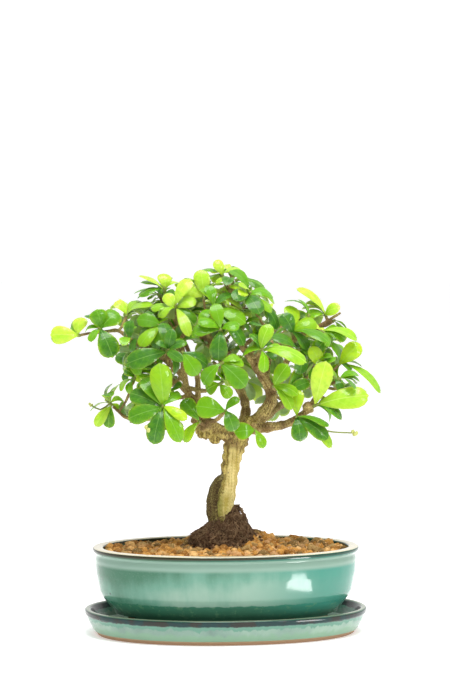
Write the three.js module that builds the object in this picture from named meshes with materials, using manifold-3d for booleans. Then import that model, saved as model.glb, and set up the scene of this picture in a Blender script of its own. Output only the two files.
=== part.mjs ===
// A fukien tea bonsai in an oval glazed pot that stands on its saucer.
// Millimetres, +Z up. The origin is the centre of the saucer's flat underside, +X runs along the
// pot's long axis and -Y faces the viewer. The tree is laid out in the picture's own frame, in
// which X runs to the right, Y away from the viewer and Z up, and is turned by TREE_TURN in its pot.
import * as THREE from "three";
import { mergeVertices } from "three/addons/utils/BufferGeometryUtils.js";
import Module from "manifold-3d";

const wasm = await Module();
wasm.setup();

// Clearance between pieces that rest on each other, and the finest detail that is kept.
const GAP = 0.3;
const FINEST = 0.03;

// Oval ware: half of the outer length and width at the rim, and how square the oval is.
const POT_HALF = [100, 73.5];
const SAUCER_HALF = [105.8, 78];
const OVAL_POWER = 2.12;
const OVAL_SIDES = 36;
const SAUCER_FLOOR = 6;
const SAUCER_RIM = 19;
const FOOT_BOTTOM = SAUCER_FLOOR + GAP;
const POT_UNDERSIDE = 16.5;
const POT_FLOOR = 24.5;
const POT_RIM = 65;
const FOOT_GAPS = [[90, 200], [200, 62]];
const DRAIN_RADIUS = 6.5;
const DRAIN_X = 36;

// Soil: the level at the wall, the heap beside the root mound and the grain lattice.
const SOIL_LEVEL = 60.8;
const SOIL_HEAP = 10.5;
const GRAIN_PITCH = 8.6;
const GRAIN_TOP = 2.4;
const GRAIN_PIT = -1.6;

// Root mound: centre in the picture's frame, half sizes of its foot and its rings.
const MOUND_CENTRE = [-3, 0];
const MOUND_HALF = [24, 21];
const MOUND_BOTTOM = 44;
const MOUND_RINGS = [[44, 1], [62, 1], [71, 0.98], [76, 0.86], [80, 0.69], [85, 0.53], [90, 0.42]];
const MOUND_LEAN = 6;
const MOUND_SHIFT = 3;
const MOUND_ROUGH = 0.2;
const MOUND_LUMP = 2.4;

const TREE_TURN = THREE.MathUtils.degToRad(-8);
const SEED = 20417;

// Woody limbs in the picture's frame: [points, radius at the start, radius at the end, sides].
// The trunk gives a radius at each of its points.
const LIMBS = {
  trunk: [[[-3, 0, 50], [-2.5, 0, 77], [-0.8, 0, 98], [2.4, 0, 118], [5, 0, 133], [8, 0, 144], [13, 0, 154]],
    [9, 8.7, 7.4, 6.6, 7.2, 8.6, 6.8], 8],
  old_root: [[[-4, 1, 117], [-8.5, 1.5, 110], [-10.5, 1, 100], [-10.7, 0, 91], [-9, 0, 80], [-6, 0, 70]],
    [1.6, 3, 3.8, 4.1, 3.9, 3.4], 7],
  left_bough: [[[8, 0, 144], [-5, -3, 151], [-15, -6, 158], [-22, -6, 168], [-28, -4, 178]], [5.6, 3], 6],
  left_riser: [[[-27, -4, 176], [-31, -8, 192], [-32, -12, 209], [-34, -12, 224], [-37, -11, 239]], [2.7, 1.3], 4],
  back_left_riser: [[[-22, -5, 168], [-21, 2, 180], [-22, 10, 194], [-28, 18, 209], [-35, 20, 225], [-43, 14, 243]],
    [2.6, 1.2], 4],
  left_arm: [[[-30, -8, 190], [-41, -10, 201], [-55, -12, 211], [-69, -10, 218], [-80, -8, 226], [-91, -7, 225],
    [-102, -4, 224]], [2.2, 1.1], 4],
  low_left_arm: [[[-22, -6, 167], [-35, -9, 166], [-48, -11, 163], [-61, -8, 160], [-74, -5, 161], [-82, -2, 167]],
    [2.3, 1.1], 4],
  leader: [[[15, 0, 153], [27, -3, 163], [34, -4, 175], [31, -4, 186], [24, -5, 197], [18, -6, 206], [12, -7, 215],
    [7, -6, 224]], [5.2, 2.1], 6],
  apex_twig: [[[8, -6, 222], [6, -4, 234], [5, 0, 246], [4, 3, 256], [-1, 4, 262]], [2.1, 1.2], 4],
  cross_twig: [[[6, -6, 225], [-3, -10, 230], [-14, -12, 235]], [1.5, 1], 4],
  middle_bough: [[[12, 3, 154], [15, 8, 166], [12, 14, 178], [5, 22, 187], [-3, 34, 200], [-11, 44, 213],
    [-15, 50, 224]], [4, 1.4], 4],
  right_bough: [[[18, -2, 152], [31, -5, 154], [43, -8, 156], [53, -12, 161], [62, -16, 169]], [4.2, 2.3], 5],
  right_riser: [[[33, -4, 178], [41, -6, 191], [46, -7, 206], [49, -6, 217], [60, -2, 225], [71, 4, 230],
    [86, 8, 239]], [2.9, 1], 4],
  far_right_twig: [[[62, -15, 169], [68, -12, 180], [75, -6, 191], [81, -1, 197]], [2, 1.1], 4],
  back_right_bough: [[[30, -2, 185], [31, 16, 197], [34, 34, 212], [37, 46, 222]], [2.8, 1.3], 4],
  back_left_bough: [[[-15, -3, 160], [-23, 12, 172], [-34, 28, 183], [-46, 40, 194], [-56, 46, 203]], [3.2, 1.3], 4],
  back_low_bough: [[[17, 1, 153], [27, 8, 158], [38, 18, 166], [49, 32, 177], [60, 42, 186]], [3.2, 1.3], 4],
};

// Knots and burrs on the wood: [x, y, z, radius].
const KNOTS = [
  [-16, -7, 152, 6.6], [-8, -3, 148, 6], [-21, -7, 160, 4.8], [61, -16, 169, 4.4], [2, 3, 260, 3],
  [-43, -12, 205, 3.4], [20, -3, 157, 6], [34, -4, 177, 4.6],
];

// Leafy shoots in the picture's frame. Each leaf is the step from the shoot to its tip, to the
// right, towards the viewer and up, then its width, how far its face is tipped up from the viewer in
// degrees, and its age from 0, young, to 1. more is the number of leaves that the rule adds.
const SHOOTS = {
  far_left: { at: [-111, -2, 222], more: 0, leaves: [[-20, 3, 1, 14.5, 5, 0], [3, -3, 14, 12.5, 25, 0]] },
  left_arm_middle: { at: [-92, -9, 226], more: 0, leaves: [[-2, 4, 14.5, 14, 20, 0.6], [14, -4, 12, 15, 15, 0.6],
    [10, 8, -20.5, 16.5, 10, 1], [-10, -8, 11, 10, 50, 0.9]] },
  left_arm_top: { at: [-74, 4, 238], more: 1, leaves: [[-9, 2, 9.5, 10, 45, 0.2], [19, 6, 8, 11, 62, 0.3],
    [12, -5, 9.5, 11, 40, 0.2]] },
  upper_left: { at: [-46, 8, 256], more: 0, leaves: [[-19.5, 4, 11, 9, 62, 0.2], [-1, -3, 12.5, 11, 20, 0],
    [11.5, -4, 5.5, 10, 60, 0.2], [-19.5, 6, -3.5, 10, 62, 0.9]] },
  left_shoulder: { at: [-37, -16, 243], more: 3, leaves: [[-8, 2, 10.5, 9.5, 10, 0], [15, 3, 6, 12, 35, 0.4],
    [13.5, 8, -12, 13, 15, 1], [10, 13, -20, 9, 25, 0], [-13, 5, -6, 11, 55, 0.2]] },
  upper_middle: { at: [-17, -6, 252], more: 4, leaves: [[-2, 2, 19.5, 12.5, 10, 0.1], [-19, 8, 6.5, 13, 5, 0],
    [30, 8, -9, 12, 68, 0.2]] },
  apex: { at: [-3, 4, 268], more: 2, leaves: [[-4.5, 2, 10.5, 8.5, 10, 0], [13.5, 3, 4.5, 7.5, 55, 0.2],
    [-17, -2, 2.5, 9, 62, 0.8]] },
  upper_right: { at: [9, 3, 264], more: 2, leaves: [[20.5, 3, -6, 11, 50, 0.8], [-17, -6, -5, 13, 10, 1],
    [31, 8, -20, 12, 58, 0.4]] },
  right_crown: { at: [15, -12, 252], more: 4, leaves: [[19, 6, -12, 11, 60, 0.4], [10, 14, -12, 13, 20, 0.9]] },
  front_crown: { at: [-10, -24, 243], more: 4, leaves: [[25, 6, -10, 13, 35, 0.5], [24, 12, -27, 12, 35, 1]] },
  front_heart: { at: [-4, -38, 228], more: 3, leaves: [[-1.5, 6, -22.5, 14, 10, 1], [-19, 8, -2, 9, 30, 0],
    [14, 3, 3, 11, 40, 0.6]] },
  left_front: { at: [-48, -22, 230], more: 2, leaves: [[-18, 3, 5, 11.5, 20, 0.5], [-17, 9, -8, 13, 45, 0.3],
    [-17, 2, -15, 12, 25, 0.5]] },
  left_dark: { at: [-43, -36, 212], more: 2, leaves: [[-29.5, 8, -8.5, 15, 10, 1], [11.5, 7, -6.5, 8, 5, 0.9]] },
  front_pair: { at: [-32, -46, 212], more: 1, leaves: [[11.5, 6, -17, 13, 5, 0.6], [21, 3, -11.5, 13, 15, 0.8]] },
  low_left_star: { at: [-46, -44, 171], more: 1, bud: [-56.5, -50, 156, 2.8], leaves: [[-2.5, 4, 33, 17, 5, 0.3],
    [-24.5, -4, 11, 14.5, 15, 0.9], [-15, -9, 22, 14, 20, 0.7], [-25.5, 6, -7.5, 14, 10, 0.9],
    [-7, 8, -26, 14, 10, 1], [13, 8, -24, 12.5, 10, 0.5], [17.5, 11, -7.5, 8.5, 15, 0], [12, -6, 11, 11, 25, 0.6]] },
  under_bough: { at: [-20, -24, 160], more: 0, leaves: [[-11, 4, -15.5, 8.5, 30, 0.2], [-12, -2, 16, 13, 15, 0.8]] },
  front_low: { at: [0, -40, 169], more: 0, leaves: [[-22, 5, 3.5, 16.5, 5, 0.5], [6, 4, -15, 12, 10, 0.7]] },
  fork: { at: [21, -28, 154], more: 0, leaves: [[-14.5, 5, -1.5, 13.5, 5, 0.5], [7, 3, -13.5, 8.5, 30, 0.5]] },
  front_middle: { at: [-3, -48, 204], more: 0, leaves: [[17.5, 5, -17, 15.5, 10, 0.8], [-14, -8, -16, 12, 20, 0.3]] },
  inner_middle: { at: [-4, -30, 188], more: 1, leaves: [[7, 3, -10.5, 10, 20, 0.4], [-11, -2, -5, 11, 15, 0.3]] },
  right_front: { at: [26, -36, 213], more: 2, leaves: [[33, 8, -8, 14, 45, 0.4], [6, 2, 19, 11, 15, 0.2],
    [2, 6, -16, 11, 40, 0.5]] },
  right_inner: { at: [35, -24, 186], more: 0, leaves: [[10.5, 4, 16, 12.5, 10, 0.3], [18, 4, -6, 13, 45, 0.9],
    [14, 6, -17, 11, 40, 0.3]] },
  right_crest: { at: [49, -9, 225], more: 1, leaves: [[-7, 4, 14, 12, 15, 0.9], [-1, -4, 20, 13, 25, 0.3],
    [18, -6, 8, 14, 20, 0.3], [29, 6, -7, 12, 55, 0.8], [12, 5, -13, 12, 45, 1]] },
  right_peak: { at: [75, 8, 236], more: 0, leaves: [[-21, 4, 20.5, 9, 50, 0], [10.5, 2, 6, 10, 20, 0.1],
    [-15, 3, -1.5, 10, 40, 0.8]] },
  right_step: { at: [72, -3, 225], more: 0, leaves: [[26, 4, -5, 11, 55, 0.4], [-15, 4, 5, 9, 45, 0.1]] },
  far_right: { at: [83, 0, 199], more: 0, leaves: [[14.5, 4, 15, 13.5, 5, 0], [-5, 3, 16, 9, 60, 0.4],
    [9, 2, -4.5, 9, 50, 0.6], [31, 3, -21, 11, 60, 0.9], [-6, 4, -13, 11, 40, 0.9]] },
  low_right_star: { at: [66, -19, 171], more: 0, leaves: [[38.5, 6, 8, 18, 15, 0.4], [7, 6, 33, 16.5, 5, 0.1],
    [19, 4, -10, 12, 50, 0.9], [23, -6, 0, 10, 40, 0.2]] },
  right_lime: { at: [70, -12, 200], more: 1, leaves: [[-7, 4, 14.5, 10.5, 5, 0], [13, -4, -12, 11, 40, 0.8]] },
  low_right: { at: [52, -22, 163], more: 0, bud: [95, -24, 151, 2.4], leaves: [[1.5, 6, 20.5, 11, 10, 0.3],
    [3, 5, -18, 13, 5, 0.9], [23.5, 6, -16, 12, 20, 1], [27, 1, -23, 10, 35, 0.1], [26, -4, -7, 11, 55, 0.6]] },
  crown_side: { at: [27, -7, 246], more: 3, leaves: [[12, 6, -18, 12, 40, 0.9], [0, -3, 14, 11, 50, 0.5]] },
  right_hollow: { at: [54, -14, 212], more: 2, leaves: [[1, 3, -18, 12, 25, 1], [-20, 6, 11, 11, 45, 0.9]] },
  low_left_tip: { at: [-86, -2, 171], more: 0, bud: [-101, -2, 170.5, 1.6], leaves: [[-11, 3, -17, 8.5, 10, 0.3],
    [-1, 5, -18.5, 9.5, 10, 0.9], [10, -2, 2.5, 8, 45, 0.3], [7, -6, -7, 7, 30, 0.1]] },
  left_hang: { at: [-68, -14, 191], more: 2, leaves: [[-4, 4, -11, 8, 50, 0.5], [-11, -3, -9, 9, 60, 0.3],
    [-7, 2, 7, 9, 40, 0.9]] },
  back_top_left: { at: [-23, 30, 242], more: 5, leaves: [] },
  back_top_right: { at: [19, 30, 245], more: 5, leaves: [] },
  back_crown: { at: [-3, 50, 234], more: 5, leaves: [] },
  back_left: { at: [-38, 46, 222], more: 5, leaves: [] },
  back_middle: { at: [-11, 60, 214], more: 5, leaves: [] },
  back_right: { at: [27, 60, 218], more: 4, leaves: [] },
  back_far_right: { at: [50, 50, 213], more: 4, leaves: [] },
  back_left_arm: { at: [-58, 50, 212], more: 4, leaves: [] },
  back_left_low: { at: [-65, 34, 195], more: 4, leaves: [] },
  back_left_side: { at: [-52, 30, 230], more: 4, leaves: [] },
  back_right_low: { at: [60, 48, 189], more: 4, leaves: [] },
  back_right_side: { at: [72, 30, 212], more: 4, leaves: [] },
  back_low_middle: { at: [9, 50, 188], more: 4, leaves: [] },
  back_low_right: { at: [38, 42, 174], more: 4, leaves: [] },
};

// Leaf form: stations along the blade as [place along it, share of the half width].
const LEAF_RIB = [0.12, 0.62];
const LEAF_EDGE = [[0.12, 0.26], [0.4, 0.78], [0.72, 1], [0.93, 0.68]];
const LEAF_THICK = 1;
const LEAF_ARCH = 0.1;
const LEAF_CLEAR = 2.3;
const LEAF_STEP = 2.6;
const WOOD_CLEAR = 1.5;

// A shoot: its radius, how far it reaches behind and beyond its leaves, and the step between two
// leaves along it; the shortest twig, the length from which a twig sags, the height above which
// twigs start, and the length of one straight stretch of a limb or a twig.
const SHOOT_RADIUS = 1.6;
const SHOOT_BACK = 2.6;
const SHOOT_FRONT = 1.4;
const SHOOT_LEAF = 0.75;
const SHORTEST_TWIG = 6.4;
const SAGGING_TWIG = 14;
const LOWEST_TWIG = 150;
const LIMB_PITCH = 15;
const TWIG_PITCH = 20;
const GOLDEN = THREE.MathUtils.degToRad(137.508);

// Short vector helpers on plain arrays.
const add = (a, b) => [a[0] + b[0], a[1] + b[1], a[2] + b[2]];
const sub = (a, b) => [a[0] - b[0], a[1] - b[1], a[2] - b[2]];
const mul = (a, k) => [a[0] * k, a[1] * k, a[2] * k];
const dot = (a, b) => a[0] * b[0] + a[1] * b[1] + a[2] * b[2];
const cross = (a, b) => [a[1] * b[2] - a[2] * b[1], a[2] * b[0] - a[0] * b[2], a[0] * b[1] - a[1] * b[0]];
const size = (a) => Math.sqrt(dot(a, a));
const unit = (a) => mul(a, 1 / size(a));
const across = (a, axis) => unit(sub(a, mul(axis, dot(a, axis))));

// Height of a line through points [place, height] at a place within its ends.
function heightOf(line, place) {
  const next = Math.max(1, line.findIndex(([at]) => at >= place));
  const [[start, low], [end, high]] = [line[next - 1], line[next]];
  return low + ((high - low) * (place - start)) / (end - start);
}

// Seeded random numbers from 0 to 1.
function randomFrom(seed) {
  let state = seed >>> 0;
  return () => {
    state = (state + 0x6d2b79f5) >>> 0;
    let t = state;
    t = Math.imul(t ^ (t >>> 15), t | 1);
    t ^= t + Math.imul(t ^ (t >>> 7), t | 61);
    return ((t ^ (t >>> 14)) >>> 0) / 4294967296;
  };
}

function solid(geometry) {
  const bare = geometry.clone();
  bare.deleteAttribute("normal");
  bare.deleteAttribute("uv");
  const merged = mergeVertices(bare, 1e-4);
  const made = new wasm.Manifold(new wasm.Mesh({
    numProp: 3,
    vertProperties: new Float32Array(merged.attributes.position.array),
    triVerts: new Uint32Array(merged.index.array),
  }));
  if (made.volume() <= 0) {
    throw new Error("a solid is inside out or empty");
  }
  return made;
}

function join(solids) {
  return solids.reduce((sum, next) => sum.add(next));
}

// The largest body of a cut: crumbs that a cut leaves loose are dropped.
function largest(made) {
  return made.decompose().sort((a, b) => b.volume() - a.volume())[0];
}

function meshOf(made, name, colour, roughness) {
  const data = made.simplify(FINEST).getMesh();
  const geometry = new THREE.BufferGeometry();
  geometry.setAttribute("position", new THREE.BufferAttribute(new Float32Array(data.vertProperties), 3));
  geometry.setIndex(new THREE.BufferAttribute(new Uint32Array(data.triVerts), 1));
  geometry.computeVertexNormals();
  const mesh = new THREE.Mesh(geometry, new THREE.MeshStandardMaterial({ color: colour, roughness, metalness: 0 }));
  mesh.name = name;
  return mesh;
}

// An oval turned from a profile of [long half axis, height]. Near the middle the oval keeps its
// proportions; from there out each ring keeps the same distance to the next one all round.
function ovalTurned(profile, half) {
  const geometry = new THREE.LatheGeometry(profile.map(([x, z]) => new THREE.Vector2(x, z)), OVAL_SIDES);
  const spot = geometry.attributes.position;
  const inner = half[0] - 40;
  const power = 2 / OVAL_POWER;
  for (let i = 0; i < spot.count; i += 1) {
    const long = Math.hypot(spot.getX(i), spot.getZ(i));
    const turn = Math.atan2(-spot.getZ(i), spot.getX(i));
    const short = long > inner ? long - half[0] + half[1] : (long * (half[1] - 40)) / inner;
    const c = Math.cos(turn);
    const s = Math.sin(turn);
    const x = long * Math.sign(c) * Math.abs(c) ** power;
    const y = short * Math.sign(s) * Math.abs(s) ** power;
    spot.setXYZ(i, Math.abs(x) < 1e-6 ? 0 : x, Math.abs(y) < 1e-6 ? 0 : y, spot.getY(i));
  }
  return solid(geometry);
}

function cylinder(radius, bottom, top, sides, x, y) {
  const geometry = new THREE.CylinderGeometry(radius, radius, top - bottom, sides);
  geometry.rotateX(Math.PI / 2);
  geometry.translate(x, y, (top + bottom) / 2);
  return solid(geometry);
}

function box(x0, x1, y0, y1, z0, z1) {
  const geometry = new THREE.BoxGeometry(x1 - x0, y1 - y0, z1 - z0);
  geometry.translate((x0 + x1) / 2, (y0 + y1) / 2, (z0 + z1) / 2);
  return solid(geometry);
}

// Saucer and pot. Offsets are measured inwards from the rim.
function profileOf(half, points) {
  return points.map(([inset, z]) => [inset === null ? 0 : half[0] - inset, z]);
}

function makeSaucer() {
  return ovalTurned(profileOf(SAUCER_HALF, [
    [null, 0], [9.4, 0], [8.4, 2.4], [7, 2.8], [2.8, 10], [1.3, 14.2], [0.1, 15.6], [0, SAUCER_RIM - 0.8],
    [1, SAUCER_RIM], [3.6, SAUCER_RIM], [4.7, SAUCER_RIM - 1], [8.6, 8], [14, SAUCER_FLOOR], [null, SAUCER_FLOOR],
  ]), SAUCER_HALF);
}

const POT_INSIDE = [[8, 64.2], [9.2, 46], [12.4, 32.5], [20, POT_FLOOR]];

function makePot() {
  const outside = [
    [null, POT_UNDERSIDE], [24, POT_UNDERSIDE], [23.4, FOOT_BOTTOM], [17.6, FOOT_BOTTOM], [16.4, POT_UNDERSIDE],
    [7.5, 28], [5.2, 32.6], [2.6, 46.1], [2, 56], [2.8, 60], [0.2, 61.8], [0, 64], [1.2, POT_RIM], [6.6, POT_RIM],
  ];
  const inside = [...POT_INSIDE, [null, POT_FLOOR]];
  let pot = ovalTurned(profileOf(POT_HALF, [...outside, ...inside]), POT_HALF);
  for (const [wide, deep] of FOOT_GAPS) {
    pot = pot.subtract(box(-wide / 2, wide / 2, -deep / 2, deep / 2, FOOT_BOTTOM - 5, POT_UNDERSIDE - 0.01));
  }
  for (const x of [-DRAIN_X, DRAIN_X]) {
    pot = pot.subtract(cylinder(DRAIN_RADIUS, POT_UNDERSIDE - 5, POT_FLOOR + 5, 20, x, 0));
  }
  return pot;
}

// Position of a point of the picture's frame in the pot's frame.
function turned([x, y, z]) {
  const c = Math.cos(TREE_TURN);
  const s = Math.sin(TREE_TURN);
  return [x * c - y * s, x * s + y * c, z];
}

function soilHeight(x, y) {
  const [mx, my] = turned([...MOUND_CENTRE, 0]);
  const right = Math.exp(-(((x - mx - 27) / 22) ** 2) - ((y - my - 4) / 26) ** 2);
  const around = Math.exp(-(((x - mx) / 34) ** 2) - ((y - my) / 28) ** 2);
  return SOIL_LEVEL + SOIL_HEAP * (0.75 * right + 0.45 * around);
}

// Soil: a filling of the pot whose top is a lattice of rough grains, with a hole for the mound.
function makeSoil() {
  const random = randomFrom(SEED + 1);
  const step = GRAIN_PITCH;
  const row = (step * Math.sqrt(3)) / 2;
  const columns = 44;
  const rows = 24;
  const geometry = new THREE.BoxGeometry(columns * step, rows * row, 2, columns, rows, 1);
  const spot = geometry.attributes.position;
  const lifted = new Map();
  for (let i = 0; i < spot.count; i += 1) {
    const column = Math.round(spot.getX(i) / step + columns / 2);
    const line = Math.round(spot.getY(i) / row + rows / 2);
    const key = column + 100 * line;
    const x = spot.getX(i) - spot.getY(i) / Math.sqrt(3);
    const y = spot.getY(i);
    if (!lifted.has(key)) {
      const top = (column + line) % 3 === 0;
      const shiftX = (random() - 0.5) * step * 0.4;
      const shiftY = (random() - 0.5) * step * 0.4;
      const lift = top ? GRAIN_TOP * (0.55 + 0.75 * random()) : GRAIN_PIT * (0.3 + random());
      lifted.set(key, [x + shiftX, y + shiftY, soilHeight(x, y) + lift]);
    }
    const [tx, ty, tz] = lifted.get(key);
    spot.setXYZ(i, tx, ty, spot.getZ(i) > 0 ? tz : POT_UNDERSIDE);
  }
  const wall = POT_INSIDE.map(([inset, z]) => [inset + GAP, z]).reverse();
  wall[0][1] = POT_FLOOR + GAP;
  const column = profileOf(POT_HALF, [[null, POT_FLOOR + GAP], ...wall, [8.3, 90], [null, 90]]);
  const [mx, my] = turned([...MOUND_CENTRE, 0]);
  const hole = cylinder(1, MOUND_BOTTOM - GAP, 120, 24, 0, 0)
    .scale([MOUND_HALF[0] + 0.9, MOUND_HALF[1] + 0.9, 1])
    .rotate([0, 0, THREE.MathUtils.radToDeg(TREE_TURN)])
    .translate([mx, my, 0]);
  return largest(ovalTurned(column, POT_HALF).intersect(solid(geometry)).subtract(hole));
}

// A curve through points, and a round limb whose cylinder is bent along it.
function curveOf(points) {
  return new THREE.CatmullRomCurve3(points.map((p) => new THREE.Vector3(...p)), false, "catmullrom", 0.5);
}

function pointAt(curve, t) {
  return curve.getPoint(t).toArray();
}

function radiusAt(radii, t) {
  const place = t * (radii.length - 1);
  const start = Math.min(Math.floor(place), radii.length - 2);
  return radii[start] + (radii[start + 1] - radii[start]) * (place - start);
}

function limb(points, radii, sides, steps, rough = 0, random = null) {
  const curve = curveOf(points);
  const geometry = new THREE.CylinderGeometry(1, 1, 1, sides, steps);
  const spot = geometry.attributes.position;
  const bumps = new Map();
  const frames = [];
  let side = Math.abs(unit(sub(points[points.length - 1], points[0]))[2]) > 0.7 ? [1, 0, 0] : [0, 0, 1];
  for (let i = 0; i <= steps; i += 1) {
    const tangent = curve.getTangent(i / steps).toArray();
    side = across(side, tangent);
    frames.push([pointAt(curve, i / steps), side, cross(tangent, side)]);
  }
  for (let i = 0; i < spot.count; i += 1) {
    const ring = Math.round((spot.getY(i) + 0.5) * steps);
    const reach = Math.hypot(spot.getX(i), spot.getZ(i));
    const turn = Math.atan2(spot.getZ(i), spot.getX(i));
    const key = ring + 1000 * (Math.round((turn / (2 * Math.PI)) * sides + sides) % sides);
    if (!bumps.has(key)) {
      bumps.set(key, random ? 1 + rough * (random() - 0.5) : 1);
    }
    const radius = reach * radiusAt(radii, ring / steps) * (reach > 0.5 ? bumps.get(key) : 1);
    const [middle, u, v] = frames[ring];
    const at = add(middle, add(mul(u, radius * Math.cos(turn)), mul(v, -radius * Math.sin(turn))));
    spot.setXYZ(i, ...at);
  }
  return solid(geometry);
}

function ball([x, y, z, radius], squash = 1) {
  const geometry = new THREE.SphereGeometry(radius, 5, 3);
  geometry.scale(1, 1, squash);
  geometry.translate(x, y, z);
  return solid(geometry);
}

function stepsOf(points, pitch, least) {
  const run = points.slice(1).reduce((sum, p, i) => sum + size(sub(p, points[i])), 0);
  return Math.max(least, Math.round(run / pitch));
}

// The wood as points with radii, which leaves keep clear of: [x, y, z, radius, owner].
function samplesOf(points, radii, owner, steps, spacing) {
  const curve = curveOf(points);
  const list = [];
  for (let i = 0; i < steps; i += 1) {
    const start = pointAt(curve, i / steps);
    const span = sub(pointAt(curve, (i + 1) / steps), start);
    const count = Math.ceil(size(span) / spacing);
    for (let j = i === 0 ? 0 : 1; j <= count; j += 1) {
      const at = add(start, mul(span, j / count));
      list.push([...at, radiusAt(radii, (i + j / count) / steps), owner]);
    }
  }
  return list;
}

// The twig of each shoot runs from the nearest wood, with wood below it preferred.
function twigsOf(wood) {
  return Object.entries(SHOOTS).map(([name, shoot], index) => {
    let best = null;
    let least = Infinity;
    for (const sample of wood) {
      const distance = size(sub(sample, shoot.at)) + 0.5 * Math.max(0, sample[2] - shoot.at[2] + 2);
      if (distance < least && sample[2] > LOWEST_TWIG) {
        least = distance;
        best = sample;
      }
    }
    const toward = sub(shoot.at, best);
    const from = sub(best, mul(unit(toward), 0.2 * best[3]));
    const run = Math.max(SHORTEST_TWIG, size(toward)) + 0.2 * best[3];
    const at = add(from, mul(unit(toward), run));
    const long = run > SAGGING_TWIG;
    const middle = add(add(mul(from, 0.5), mul(at, 0.5)), [0, 0, long ? -0.12 * run : 0]);
    const axis = unit(sub(at, middle));
    const end = sub(at, mul(axis, SHOOT_BACK + GAP));
    const points = long ? [from, middle, sub(end, mul(axis, 2)), end] : [from, end];
    return { name, index, at, axis, points, radii: [Math.min(1.9, best[3] * 0.85), 1.3] };
  });
}

// A leaf is described by its root, tip, width, normal, arch and cup.
function leafPoint(leaf, along, side, lift) {
  const span = sub(leaf.tip, leaf.root);
  const run = size(span);
  const axis = mul(span, 1 / run);
  const wide = cross(axis, leaf.normal);
  const rise = leaf.arch * run * 4 * along * (1 - along) - leaf.cup * leaf.width * side * side + lift;
  return add(add(leaf.root, mul(axis, run * along)), add(mul(wide, (side * leaf.width) / 2), mul(leaf.normal, rise)));
}

// How wide a leaf's clearance is at a place along it, as a share of the half width.
function leafShare(along) {
  return heightOf([[0, 0.2], ...LEAF_EDGE, [1, 0.4]], along);
}

function leafSamples(leaf) {
  const run = size(sub(leaf.tip, leaf.root));
  const steps = Math.ceil((0.86 * run) / LEAF_STEP);
  const list = [];
  for (let i = 0; i <= steps; i += 1) {
    const along = 0.14 + (0.86 * i) / steps;
    const share = leafShare(along);
    const sides = Math.max(1, Math.ceil((share * leaf.width) / 2 / LEAF_STEP));
    for (let j = -sides; j <= sides; j += 1) {
      list.push([...leafPoint(leaf, along, (share * j) / sides, 0), along]);
    }
  }
  return list;
}

// A coarse grid of the points of the leaves that are already placed.
function makeCrowd() {
  const cells = new Map();
  const cell = 4;
  const key = (i, j, k) => (i + 200) * 160000 + (j + 200) * 400 + k + 200;
  return {
    put(point, owner) {
      const at = key(Math.floor(point[0] / cell), Math.floor(point[1] / cell), Math.floor(point[2] / cell));
      if (!cells.has(at)) {
        cells.set(at, []);
      }
      cells.get(at).push([point[0], point[1], point[2], point[3], owner]);
    },
    near(point, owner, reach) {
      const i = Math.floor(point[0] / cell);
      const j = Math.floor(point[1] / cell);
      const k = Math.floor(point[2] / cell);
      for (let a = i - 1; a <= i + 1; a += 1) {
        for (let b = j - 1; b <= j + 1; b += 1) {
          for (let c = k - 1; c <= k + 1; c += 1) {
            for (const other of cells.get(key(a, b, c)) || []) {
              const same = other[4] === owner;
              if (same && (point[3] < 0.45 || other[3] < 0.45)) {
                continue;
              }
              const dx = point[0] - other[0];
              const dy = point[1] - other[1];
              const dz = point[2] - other[2];
              if (dx * dx + dy * dy + dz * dz < reach * reach) {
                return true;
              }
            }
          }
        }
      }
      return false;
    },
  };
}

function isFree(leaf, owner, crowd, wood) {
  for (const point of leafSamples(leaf)) {
    if (crowd.near(point, owner, LEAF_CLEAR)) {
      return false;
    }
    for (const piece of wood) {
      const own = piece[4] === owner;
      if (own && point[3] < 0.3) {
        continue;
      }
      const dx = point[0] - piece[0];
      const dy = point[1] - piece[1];
      const dz = point[2] - piece[2];
      const reach = piece[3] + (own ? 0.9 : WOOD_CLEAR);
      if (dx * dx + dy * dy + dz * dz < reach * reach) {
        return false;
      }
    }
  }
  return true;
}

// The face of a listed leaf looks at the viewer, tipped up by its tilt.
function listedLeaf(twig, row, root, change) {
  const [right, near, up, width, tilt, age] = row;
  const tip = add(twig.at, mul([right, -(near + change.near), up], change.scale));
  const axis = unit(sub(tip, root));
  const face = across([0, -1, 0.12], axis);
  const rise = cross(axis, face);
  const sign = rise[2] < 0 ? -1 : 1;
  const lean = THREE.MathUtils.degToRad(tilt + change.tilt);
  const normal = unit(add(mul(face, Math.cos(lean)), mul(rise, sign * Math.sin(lean))));
  return { root, tip, width: width * change.scale, normal, age, arch: LEAF_ARCH, cup: 0.08 };
}

function grownLeaf(twig, count, random, root, away) {
  const spin = GOLDEN * count + 6.28 * random() * 0.3;
  const open = THREE.MathUtils.degToRad(38 + 50 * random());
  const length = 17 + 8 * random();
  const width = length * (0.5 + 0.06 * random());
  const age = random();
  const side = across(Math.abs(twig.axis[2]) > 0.9 ? [1, 0, 0] : [0, 0, 1], twig.axis);
  const other = cross(twig.axis, side);
  const spoke = add(mul(side, Math.cos(spin)), mul(other, Math.sin(spin)));
  const heading = add(mul(twig.axis, Math.cos(open)), mul(spoke, Math.sin(open)));
  if (away && heading[1] < 0.1) {
    heading[1] = 0.1 + 0.6 * Math.abs(heading[1]);
  }
  const axis = unit(heading);
  const normal = across(add(twig.axis, [0, 0, 0.7]), axis);
  return {
    root,
    tip: add(root, mul(axis, length)),
    width,
    normal,
    age: age < 0.35 ? age * 0.6 : age,
    arch: 0.08 + 0.06 * random(),
    cup: 0.12 * random() - 0.02,
  };
}

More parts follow.
